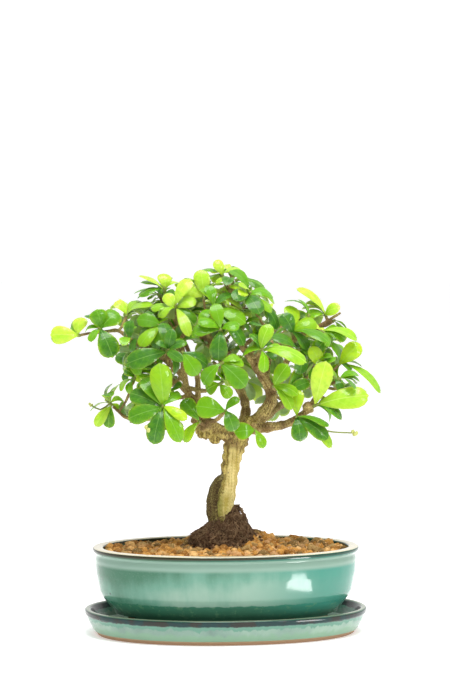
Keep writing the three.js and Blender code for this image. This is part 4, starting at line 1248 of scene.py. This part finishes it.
def put_bud(bm, twig, bud):
    """A stalk from the shoot with a cluster of small buds at its end."""
    end = bud[:3]
    radius = bud[3]
    middle = add(add(mul(twig["at"], 0.5), mul(end, 0.5)), (0, -2, -4))
    line, widths = line_along([twig["at"], middle, end], (0.75, 0.55), 4)
    tube(bm, line, widths, 6, 1)
    for n in range(BUDS_ON_STALK):
        turn = 2.4 * n
        out = mul((0.62 * math.cos(turn), 0.62 * math.sin(turn), 0.45 * math.sin(1.9 * n)), radius)
        ball = bmesh.ops.create_icosphere(bm, subdivisions=2, radius=0.52 * radius * MM)["verts"]
        for v in ball:
            v.co = Vector((v.co.x, v.co.y, v.co.z * 1.25)) + at_place(add(end, out))
        for face in {f for v in ball for f in v.link_faces}:
            face.material_index = 2


def shoot_region(twig):
    x, y, z = twig["at"]
    if y > BACK_FROM:
        return "back"
    if z < LOW_TO:
        return "low"
    if x < LEFT_TO:
        return "left"
    return "right" if x > RIGHT_FROM else "crown"


def make_shoots(twigs, added, placed, leaf_materials, stem, bud_material):
    """Fine shoots, gathered by region and by whether a shoot is mostly young or mature."""
    form = leaf_form()
    random = random_from(SEED + 31)
    groups = {}
    for twig, leaves in zip([*twigs, *added], placed):
        young = twig["name"] in YOUNG_SHOOTS
        if not twig["name"]:
            young = 2 * sum(leaf["age"] < 0.5 for leaf in leaves) > len(leaves)
        groups.setdefault((shoot_region(twig), young), []).append((twig, leaves))
    for (region, young), shoots in sorted(groups.items()):
        bm = bmesh.new()
        bm.verts.layers.float.new("age")
        bm.verts.layers.float.new("tone")
        for twig, leaves in shoots:
            for leaf in leaves:
                put_leaf(bm, form, leaf, random)
            back = sub(twig["at"], mul(twig["axis"], SHOOT_BACK))
            front = add(twig["at"], mul(twig["axis"], SHOOT_LEAF * (len(leaves) - 1) - 0.6))
            line = [add(back, mul(sub(front, back), t / 4)) for t in range(5)]
            tube(bm, line, STEM_RADII, 8, 1)
            if twig["name"] in BUDS:
                put_bud(bm, twig, BUDS[twig["name"]])
        sort = "young" if young else "mature"
        nodes = ["spray_" + twig["name"] for twig, _ in shoots if twig["name"]]
        piece = new_piece(f"shoots_{region}_{sort}", bm, [leaf_materials[young], stem, bud_material],
                          sort + "_leaf", *nodes)
        piece.data.set_sharp_from_angle(angle=SHARP_FROM)
    bpy.data.meshes.remove(form)


# ---- Materials -----------------------------------------------------------------------------------

COLOUR = "NodeSocketColor"
NUMBER = "NodeSocketFloat"
BARE_CLAY = (168, 136, 106)


def colour(red, green, blue):
    """A colour given as on a screen, from 0 to 255, in the renderer's own linear terms."""
    line = []
    for value in (red, green, blue):
        share = value / 255
        line.append(share / 12.92 if share <= 0.04045 else ((share + 0.055) / 1.055) ** 2.4)
    return (*line, 1)


def tints(**screen):
    return {key: colour(*tint) for key, tint in screen.items()}


class Graph:
    """Adds nodes to a tree and links or fills their inputs."""

    def __init__(self, tree):
        self.tree = tree

    def node(self, kind, inputs=None, **settings):
        made = self.tree.nodes.new(kind)
        for name, value in settings.items():
            setattr(made, name, value)
        for key, value in (inputs or {}).items():
            if isinstance(value, bpy.types.NodeSocket):
                self.tree.links.new(value, made.inputs[key])
            else:
                made.inputs[key].default_value = value
        return made

    def drive(self, sockets, **values):
        for key, value in values.items():
            self.tree.links.new(value, sockets[key.replace("_", " ")])

    def math(self, operation, a, b=0.0):
        return self.node("ShaderNodeMath", {0: a, 1: b}, operation=operation).outputs[0]

    def plus(self, a, b):
        return self.math("ADD", a, b)

    def minus(self, a, b):
        return self.math("SUBTRACT", a, b)

    def times(self, a, b):
        return self.math("MULTIPLY", a, b)

    def mix(self, share, a, b):
        made = self.node("ShaderNodeMix", {0: share, 6: a, 7: b}, data_type="RGBA")
        return made.outputs[2]

    def lay(self, skin, *layers):
        """The skin under layers of one colour each, every one where its mask says."""
        for mask, tint in layers:
            skin = self.mix(mask, skin, colour(*tint))
        return skin

    def tones(self, value, low, high, first, second):
        """From one colour at low to another at high."""
        return self.mix(self.ramp(value, low, high), colour(*first), colour(*second))

    def ramp(self, value, low, high, to_low=0.0, to_high=1.0):
        made = self.node("ShaderNodeMapRange", {0: value, 1: low, 2: high, 3: to_low, 4: to_high},
                         interpolation_type="SMOOTHSTEP")
        return made.outputs[0]

    def band(self, value, low, high, soft):
        """1 between low and high, falling to 0 within soft of them."""
        up = self.ramp(value, low - soft, low)
        return self.times(up, self.ramp(value, high, high + soft, 1.0, 0.0))

    def noise(self, place, scale, detail=3.0, rough=0.55, stretch=None):
        if stretch:
            place = self.node("ShaderNodeMapping", {"Vector": place, "Scale": stretch}).outputs[0]
        terms = {"Vector": place, "Scale": scale, "Detail": detail, "Roughness": rough}
        return self.node("ShaderNodeTexNoise", terms).outputs["Fac"]

    def patches(self, place, scale, low, high, most, detail=3.0, rough=0.55):
        """Soft patches, from 0 to most."""
        return self.ramp(self.noise(place, scale, detail, rough), low, high, 0.0, most)

    def drips(self, place, scale, stretch, reach):
        """How far the glaze has run at a place, up or down."""
        run = self.minus(self.noise(place, scale, 3, 0.6, (1, 1, stretch)), 0.5)
        return self.times(run, reach)

    def value(self, name, output="Fac"):
        return self.node("ShaderNodeAttribute", attribute_name=name).outputs[output]

    def place(self):
        return self.node("ShaderNodeTexCoord").outputs["Object"]

    def split(self, vector):
        return self.node("ShaderNodeSeparateXYZ", {0: vector}).outputs

    def along(self, place, axis):
        """A place's distance along an axis in millimetres."""
        return self.math("DIVIDE", self.split(place)[axis], MM)

    def bump(self, height, strength, distance):
        terms = {"Height": height, "Strength": strength, "Distance": distance}
        return self.node("ShaderNodeBump", terms).outputs[0]


def new_material(name, **constants):
    """A material with its plain sockets set; gives it, its graph and its shader's inputs."""
    material = bpy.data.materials.new(name)
    material.use_nodes = True
    shader = next(n for n in material.node_tree.nodes if n.type == "BSDF_PRINCIPLED").inputs
    for key, value in constants.items():
        shader[key.replace("_", " ")].default_value = value
    return material, Graph(material.node_tree), shader


def new_group(name, colours, numbers, outputs):
    tree = bpy.data.node_groups.new(name, "ShaderNodeTree")
    for kind, inputs in ((COLOUR, colours), (NUMBER, numbers)):
        for key, value in inputs.items():
            made = tree.interface.new_socket(name=key, in_out="INPUT", socket_type=kind)
            made.default_value = value
    for key, kind in outputs.items():
        tree.interface.new_socket(name=key, in_out="OUTPUT", socket_type=kind)
    g = Graph(tree)
    return tree, g, g.node("NodeGroupInput").outputs, g.node("NodeGroupOutput").inputs


def glaze_group():
    """Clouds, faint runs, fine speckle and pinholes of a glaze that has flowed in the kiln."""
    black = (0, 0, 0, 1)
    tree, g, given, wanted = new_group(
        "glaze that has run", {"Deep": black, "Middle": black, "Pale": (1, 1, 1, 1), "Pinhole": black},
        {"Lift": 0.0}, {"Colour": COLOUR, "Height": NUMBER},
    )
    place = g.place()
    runs = g.noise(place, 110, 3, 0.55, (1, 1, 0.14))
    clouds = g.noise(place, 20, 4, 0.5)
    share = g.plus(g.minus(g.plus(g.times(runs, 0.34), clouds), 0.17), given["Lift"])
    body = g.mix(g.ramp(share, 0.2, 0.56), given["Deep"], given["Middle"])
    body = g.mix(g.ramp(share, 0.48, 0.84), body, given["Pale"])
    body = g.mix(g.patches(place, 1500, 0.56, 0.7, 0.22, 2, 0.6), body, given["Pale"])
    cells = g.node("ShaderNodeTexVoronoi", {"Vector": place, "Scale": 40.0, "Randomness": 1.0})
    hole = g.ramp(cells.outputs["Distance"], 0.022, 0.04, 1.0, 0.0)
    g.drive(wanted, Colour=g.mix(hole, body, given["Pinhole"]),
            Height=g.minus(g.plus(g.times(runs, 0.2), clouds), g.times(hole, 0.4)))
    return tree


def finish_ware(g, shader, skin, glaze, bare, strength):
    """Bare clay where a piece was wiped before the kiln, and the glaze's own relief."""
    rough = g.ramp(bare, 0.1, 0.9, 0.12, 0.8)
    relief = g.bump(glaze["Height"], strength, 0.002)
    g.drive(shader, Base_Color=g.lay(skin, (bare, BARE_CLAY)), Roughness=rough, Normal=relief)


def pot_material(group):
    """Clouded celadon, deeper on the left and more teal on the right, with a dark edge to the lip."""
    material, g, shader = new_material("celadon glaze", Roughness=0.12, Specular_IOR_Level=0.3,
                                       Coat_Weight=0.15, Coat_Roughness=0.03)
    place = g.place()
    level = g.along(place, 2)
    right = g.along(place, 0)
    # Toward the lower body the glaze is lifted paler, a painted reflection of the bright floor and
    # softbox; toward the left end it is kept deeper.
    lift = g.plus(g.ramp(level, 34, 54, 0.3, -0.04), g.ramp(right, -90, -10, -0.38, 0.0))
    glaze = g.node("ShaderNodeGroup", {"Lift": lift, **tints(
        Deep=(60, 112, 86), Middle=(102, 152, 132), Pale=(144, 176, 158), Pinhole=(40, 52, 34),
    )}, node_tree=group).outputs
    skin = g.lay(
        glaze["Colour"],
        (g.ramp(right, -5, 76, 0.0, 0.85), (50, 138, 120)),
        # The pale band in the neck under the lip is painted light, widened against the shade in the
        # groove there.
        (g.band(level, 55.2, 60.4, 3.2), (134, 164, 148)),
    )
    lip = g.tones(right, -70, 40, (50, 82, 56), (34, 104, 88))
    skin = g.mix(g.ramp(level, 61.0, 61.7, 0.0, 0.85), skin, lip)
    edge = g.tones(right, 0, 70, (44, 44, 24), (30, 70, 56))
    skin = g.mix(g.band(level, 62.7, 64.1, 0.5), skin, edge)
    # The pale cream top of the rim is a painted highlight, for the white reflections along it.
    skin = g.lay(skin, (g.ramp(level, 64.3, 64.6, 0.0, 0.9), (216, 206, 178)))
    # Below the crisp, drip-ragged line at about 28 mm the undercut takes a darker teal: a painted
    # reflection of the shaded saucer in the glaze, with lighter mottling in it.
    foot = g.tones(right, 0, 76, (52, 116, 90), (60, 146, 128))
    foot = g.lay(foot, (g.patches(place, 210, 0.54, 0.66, 0.5, 4, 0.65), (104, 160, 118)))
    run = g.plus(level, g.drips(place, 190, 0.25, 3.0))
    skin = g.mix(g.ramp(run, 28.1, 27.4, 0.0, 0.9), skin, foot)
    # Darker still toward the bottom: painted shade under the pot.
    skin = g.lay(skin, (g.ramp(level, 23, 16.5, 0.0, 0.9), (28, 78, 60)))
    finish_ware(g, shader, skin, glaze, g.ramp(level, 16, 14.5), 0.05)
    return material


def saucer_material(group):
    """Dark where the glaze is thin at the rim, grey in the middle and green where it gathers."""
    material, g, shader = new_material("saucer glaze", Roughness=0.14, Specular_IOR_Level=0.25,
                                       Coat_Weight=0.12, Coat_Roughness=0.04)
    place = g.place()
    level = g.along(place, 2)
    drips = g.drips(place, 150, 0.08, 9.0)
    run = g.plus(level, drips)
    glaze = g.node("ShaderNodeGroup", {"Lift": 0.12, **tints(
        Deep=(84, 106, 104), Middle=(124, 150, 138), Pale=(150, 176, 158), Pinhole=(60, 52, 44),
    )}, node_tree=group).outputs
    skin = g.lay(
        glaze["Colour"],
        (g.ramp(run, 9.5, 6.0, 0.0, 0.85), (128, 164, 136)),
        (g.band(run, 12.4, 14.2, 1.2), (104, 148, 130)),
    )
    rim = g.tones(g.noise(place, 60, 3, 0.6), 0.42, 0.58, (14, 48, 50), (40, 34, 30))
    skin = g.mix(g.ramp(g.plus(level, g.times(drips, 0.3)), 13.9, 15.0, 0.0, 0.97), skin, rim)
    skin = g.lay(
        skin,
        (g.ramp(level, 18.1, 18.5, 0.0, 0.7), (60, 100, 80)),
        # The pale line along the top of the rim is a painted highlight.
        (g.ramp(level, 18.75, 18.95, 0.0, 0.8), (140, 150, 122)),
    )
    finish_ware(g, shader, skin, glaze, g.ramp(level, 3.4, 2.9), 0.08)
    return material


def grain_material():
    """Baked clay grains of several sorts: orange, tan, rosy and a grey brown."""
    material, g, shader = new_material("baked clay grains", Roughness=0.95, Specular_IOR_Level=0.2)
    place = g.place()
    tone = g.value("tone")
    kind = g.value("kind")
    skin = g.lay(
        g.tones(tone, 0.0, 0.55, (146, 96, 38), (208, 150, 72)),
        (g.ramp(tone, 0.55, 1.0), (236, 190, 124)),
        (g.ramp(kind, 0.56, 0.62, 0.0, 0.7), (206, 160, 112)),
        (g.ramp(kind, 0.7, 0.76, 0.0, 0.8), (166, 138, 82)),
        (g.ramp(kind, 0.86, 0.9, 0.0, 0.85), (112, 88, 48)),
        (g.patches(place, 420, 0.42, 0.7, 0.6, 4), (120, 80, 30)),
        (g.patches(place, 1400, 0.54, 0.72, 0.6), (248, 214, 158)),
    )
    g.drive(shader, Base_Color=skin, Normal=g.bump(g.noise(place, 1300, 4, 0.65), 0.7, 0.0008))
    return material


# The bed under the grains is dark brown: painted shade for the gaps between the grains.
def bed_material():
    material, g, shader = new_material("dark bed under the grains as painted shade", Roughness=1.0,
                                       Specular_IOR_Level=0.1)
    g.drive(shader, Base_Color=g.mix(g.noise(g.place(), 500), colour(62, 38, 16), colour(104, 66, 30)))
    return material


def peat_material(name, dark, light, glint):
    material, g, shader = new_material(name, Roughness=0.95, Specular_IOR_Level=0.15)
    place = g.place()
    skin = g.lay(
        g.tones(g.noise(place, 300, 5, 0.7), 0.36, 0.66, dark, light),
        (g.patches(place, 110, 0.5, 0.64, 0.5), (92, 58, 40)),
        (g.patches(place, 150, 0.6, 0.7, 0.4, 3, 0.6), (78, 74, 46)),
        (g.patches(place, 900, 0.6, 0.74, 0.7), glint),
    )
    g.drive(shader, Base_Color=skin, Normal=g.bump(g.noise(place, 800, 5, 0.75), 1.0, 0.0016))
    return material


def bark_material():
    """Pale smooth bark on the trunk, tan on the boughs; darker and furrowed where aged and, as painted
    shade, on each limb's left side.
    """
    material, g, shader = new_material("fukien tea bark", Roughness=0.75, Specular_IOR_Level=0.35)
    place = g.place()
    grain = g.value("bark", "Vector")
    girth = g.value("girth")
    aged_or_shaded_side = g.value("aged_or_shaded_bark")
    height = g.along(place, 2)
    plates = g.noise(grain, 0.5, 5, 0.62, (1, 1, 0.5))
    pale = g.tones(plates, 0.36, 0.6, (196, 172, 82), (240, 222, 150))
    aged = g.tones(plates, 0.38, 0.62, (136, 114, 50), (212, 192, 104))
    bough = g.tones(plates, 0.36, 0.64, (148, 120, 60), (222, 200, 130))
    # The aged colour stands where the bark is aged and, as painted shade, on each limb's left side.
    skin = g.mix(g.ramp(girth, 3.6, 6.2), bough, g.mix(g.times(aged_or_shaded_side, 0.9), pale, aged))
    algae = g.times(g.patches(place, 60, 0.36, 0.6, 1.0), g.ramp(height, 124, 92, 0.0, 0.8))
    skin = g.lay(
        skin,
        (g.ramp(girth, 1.7, 1.1, 0.0, 0.6), (134, 126, 62)),
        (g.times(algae, g.plus(g.times(aged_or_shaded_side, 0.6), 0.4)), (140, 146, 60)),
        (g.times(g.patches(place, 85, 0.44, 0.62, 1.0, 4, 0.6), g.ramp(height, 124, 146, 0.0, 0.75)),
         (118, 88, 54)),
    )
    root = g.tones(g.noise(grain, 0.9, 4, 0.6), 0.38, 0.62, (82, 70, 38), (164, 150, 86))
    skin = g.mix(g.ramp(aged_or_shaded_side, 1.1, 1.9), skin, root)
    depth = g.minus(g.noise(grain, 1.1, 4, 0.65, (1, 1, 0.35)), g.plus(0.37, g.times(aged_or_shaded_side, 0.075)))
    cracks = g.ramp(depth, 0.03, -0.05, 0.0, 0.8)
    # The cracks are darkened: painted shade in the furrows.
    skin = g.lay(skin, (cracks, (72, 50, 28)))
    rough = g.plus(g.times(plates, 0.8), g.noise(grain, 3.0, 4, 0.7, (1, 1, 0.5)))
    rough = g.minus(rough, g.times(cracks, 0.6))
    g.drive(shader, Base_Color=skin, Normal=g.bump(rough, 0.5, 0.0009))
    return material


def leaf_group():
    """Colour and relief of a leaf: its age, its veins, its blotches and its paler underside."""
    tree, g, given, wanted = new_group(
        "leaf blade", {"Young": (0, 1, 0, 1), "Middle": (0, 0.5, 0, 1), "Old": (0, 0.2, 0, 1),
                       "Vein": (1, 1, 0, 1), "Underside": (0.5, 0.6, 0.4, 1)},
        {}, {"Colour": COLOUR, "Height": NUMBER, "Roughness": NUMBER},
    )
    place = g.place()
    under = g.value("under")
    aged = g.plus(g.value("age"), g.times(g.minus(g.value("tone"), 0.5), 0.3))
    skin = g.mix(g.ramp(aged, 0.02, 0.54), given["Young"], given["Middle"])
    skin = g.mix(g.ramp(aged, 0.5, 0.95), skin, given["Old"])
    skin = g.mix(g.patches(place, 260, 0.35, 0.7, 0.35), skin, given["Middle"])
    blade = g.split(g.node("ShaderNodeUVMap", uv_map="blade").outputs[0])
    aside = g.times(g.math("ABSOLUTE", g.minus(blade[0], 0.5)), 2.0)
    rib = g.ramp(aside, 0.012, 0.06, 1.0, 0.0)
    phase = g.math("FRACT", g.minus(g.times(blade[1], 6.0), g.times(aside, 1.5)))
    side_vein = g.ramp(g.math("ABSOLUTE", g.minus(phase, 0.5)), 0.03, 0.11, 1.0, 0.0)
    skin = g.mix(g.math("MAXIMUM", g.times(rib, 0.34), g.times(side_vein, 0.07)), skin, given["Vein"])
    sunk = g.math("MAXIMUM", g.times(rib, 0.7), g.times(side_vein, 0.3))
    g.drive(wanted, Colour=g.mix(g.times(under, 0.55), skin, given["Underside"]),
            Height=g.minus(g.times(g.noise(place, 500), 0.5), sunk),
            Roughness=g.plus(g.times(under, 0.2), 0.38))
    return tree


def leaf_material(name, group, colours):
    material, g, shader = new_material(name, Specular_IOR_Level=0.15, Subsurface_Weight=0.45,
                                       Subsurface_Radius=(1.0, 1.2, 0.3), Subsurface_Scale=0.0015,
                                       Coat_Weight=0.3, Coat_Roughness=0.07)
    blade = g.node("ShaderNodeGroup", colours, node_tree=group).outputs
    g.drive(shader, Base_Color=blade["Colour"], Roughness=blade["Roughness"],
            Normal=g.bump(blade["Height"], 0.25, 0.0005))
    return material


def plain_material(name, tint, roughness):
    return new_material(name, Base_Color=colour(*tint), Roughness=roughness)[0]


# ---- Camera, floor and light ---------------------------------------------------------------------

FRAME_PIXELS = (450, 675)
FOCAL_PIXELS = 2681
SENSOR = 36
CAMERA_FROM = (-0.75, -2000, 300)
CAMERA_PITCH = math.radians(2.27)
ROOM_FRONT = 0.45
ROOM_BACK = 1.05
FLOOR_GLOW = 0.33
FLOOR_RADIUS = 14
LIT_MIDDLE = (0, 0, 0.15)

# A bright card just above the floor, to the right in front, which only glossy surfaces see.
CARD_PLACE = Vector((0.151, -0.156, 0.002))
CARD_SIZE = (0.052, 0.142)
CARD_ALONG = Vector((0.694, -0.72, 0))


def make_camera():
    data = bpy.data.cameras.new("camera")
    data.sensor_width = SENSOR
    data.lens = FOCAL_PIXELS / FRAME_PIXELS[1] * SENSOR
    data.clip_end = 100
    camera = linked("camera", data)
    camera.location = at_place(CAMERA_FROM)
    way = turned((0, math.cos(CAMERA_PITCH), -math.sin(CAMERA_PITCH)))
    camera.rotation_mode = "QUATERNION"
    camera.rotation_quaternion = Vector(way).to_track_quat("-Z", "Y")
    bpy.context.scene.camera = camera


def make_stage():
    """A plain pale floor that glows a little, so that it is as white as the room round it."""
    bm = bmesh.new()
    bmesh.ops.create_circle(bm, cap_ends=True, segments=96, radius=FLOOR_RADIUS)
    floor = linked("floor", mesh_from(bm, "floor"))
    material, _, _ = new_material("pale floor", Base_Color=(0.95, 0.95, 0.95, 1), Roughness=0.9,
                                  Emission_Color=(1, 1, 1, 1), Emission_Strength=FLOOR_GLOW)
    floor.data.materials.append(material)


def make_lamp(name, place, width, height, power):
    """A bright rectangle that faces the object."""
    data = bpy.data.lights.new(name, "AREA")
    data.shape = "RECTANGLE"
    data.size = width
    data.size_y = height
    data.energy = power
    lamp = linked(name, data)
    lamp.location = place
    lamp.rotation_mode = "QUATERNION"
    lamp.rotation_quaternion = (Vector(LIT_MIDDLE) - Vector(place)).to_track_quat("-Z", "Y")
    return lamp


def make_light():
    """A white room, brighter behind the object than before it, with a softbox, a window and a card."""
    world = bpy.data.worlds.new("studio")
    world.use_nodes = True
    g = Graph(world.node_tree)
    sky = next(n for n in world.node_tree.nodes if n.type == "BACKGROUND").inputs
    way = g.split(g.node("ShaderNodeTexCoord").outputs["Generated"])
    sky["Color"].default_value = (1, 1, 1, 1)
    g.drive(sky, Strength=g.ramp(way[1], -0.5, 0.75, ROOM_FRONT, ROOM_BACK))
    bpy.context.scene.world = world
    bpy.context.scene.view_settings.view_transform = "Standard"
    make_lamp("overhead softbox", (0.1, -0.5, 1.6), 0.9, 0.9, 26)
    make_lamp("right window", (1.0, -1.5, 0.9), 0.3, 0.5, 7)
    card = make_lamp("bright card seen in the glaze", CARD_PLACE, *CARD_SIZE, 0.4)
    down = Vector((0, 0, -1))
    turn = Matrix((CARD_ALONG.cross(down), CARD_ALONG, down)).transposed()
    card.rotation_quaternion = turn.to_quaternion()
    card.visible_camera = False
    card.visible_diffuse = False


# ---- The whole -----------------------------------------------------------------------------------


make_camera()
make_stage()
make_light()

glaze = glaze_group()
make_saucer([saucer_material(glaze)])
make_pot([pot_material(glaze)])
make_soil(grain_material(), bed_material())
make_mound([
    peat_material("fibrous peat", (62, 44, 30), (138, 108, 78), (196, 164, 126)),
    peat_material("root fibres", (104, 78, 56), (182, 150, 114), (214, 188, 150)),
])

limb_samples = [row for points, radii in LIMBS.values()
                for row in samples_of(points, radii, -1, steps_of(points, LIMB_PITCH, 2), 3)]
twigs = twigs_of(limb_samples)
twig_samples = [row for twig in twigs for row in samples_of(
    twig["points"], twig["radii"], twig["index"], steps_of(twig["points"], TWIG_PITCH, 1), 2)]
wood = Wood([*limb_samples, *[(*knot, -1) for knot in KNOTS], *twig_samples])
crowd = Crowd()
placed = grow_leaves(twigs, wood, crowd)
added = fill_leaves(twigs, wood, crowd, placed, limb_samples)
make_wood([*twigs, *added], bark_material())

blade = leaf_group()
mature = tints(Young=(176, 214, 40), Middle=(100, 158, 10), Old=(56, 110, 30), Vein=(150, 192, 96),
               Underside=(168, 192, 130))
young = tints(Young=(190, 226, 70), Middle=(116, 174, 8), Old=(66, 122, 20), Vein=(216, 238, 130),
              Underside=(196, 212, 130))
leaf_kinds = [leaf_material("mature leaf", blade, mature), leaf_material("young leaf", blade, young)]
make_shoots(twigs, added, placed, leaf_kinds, plain_material("green shoot", (128, 140, 60), 0.6),
            plain_material("flower bud", (196, 200, 110), 0.5))
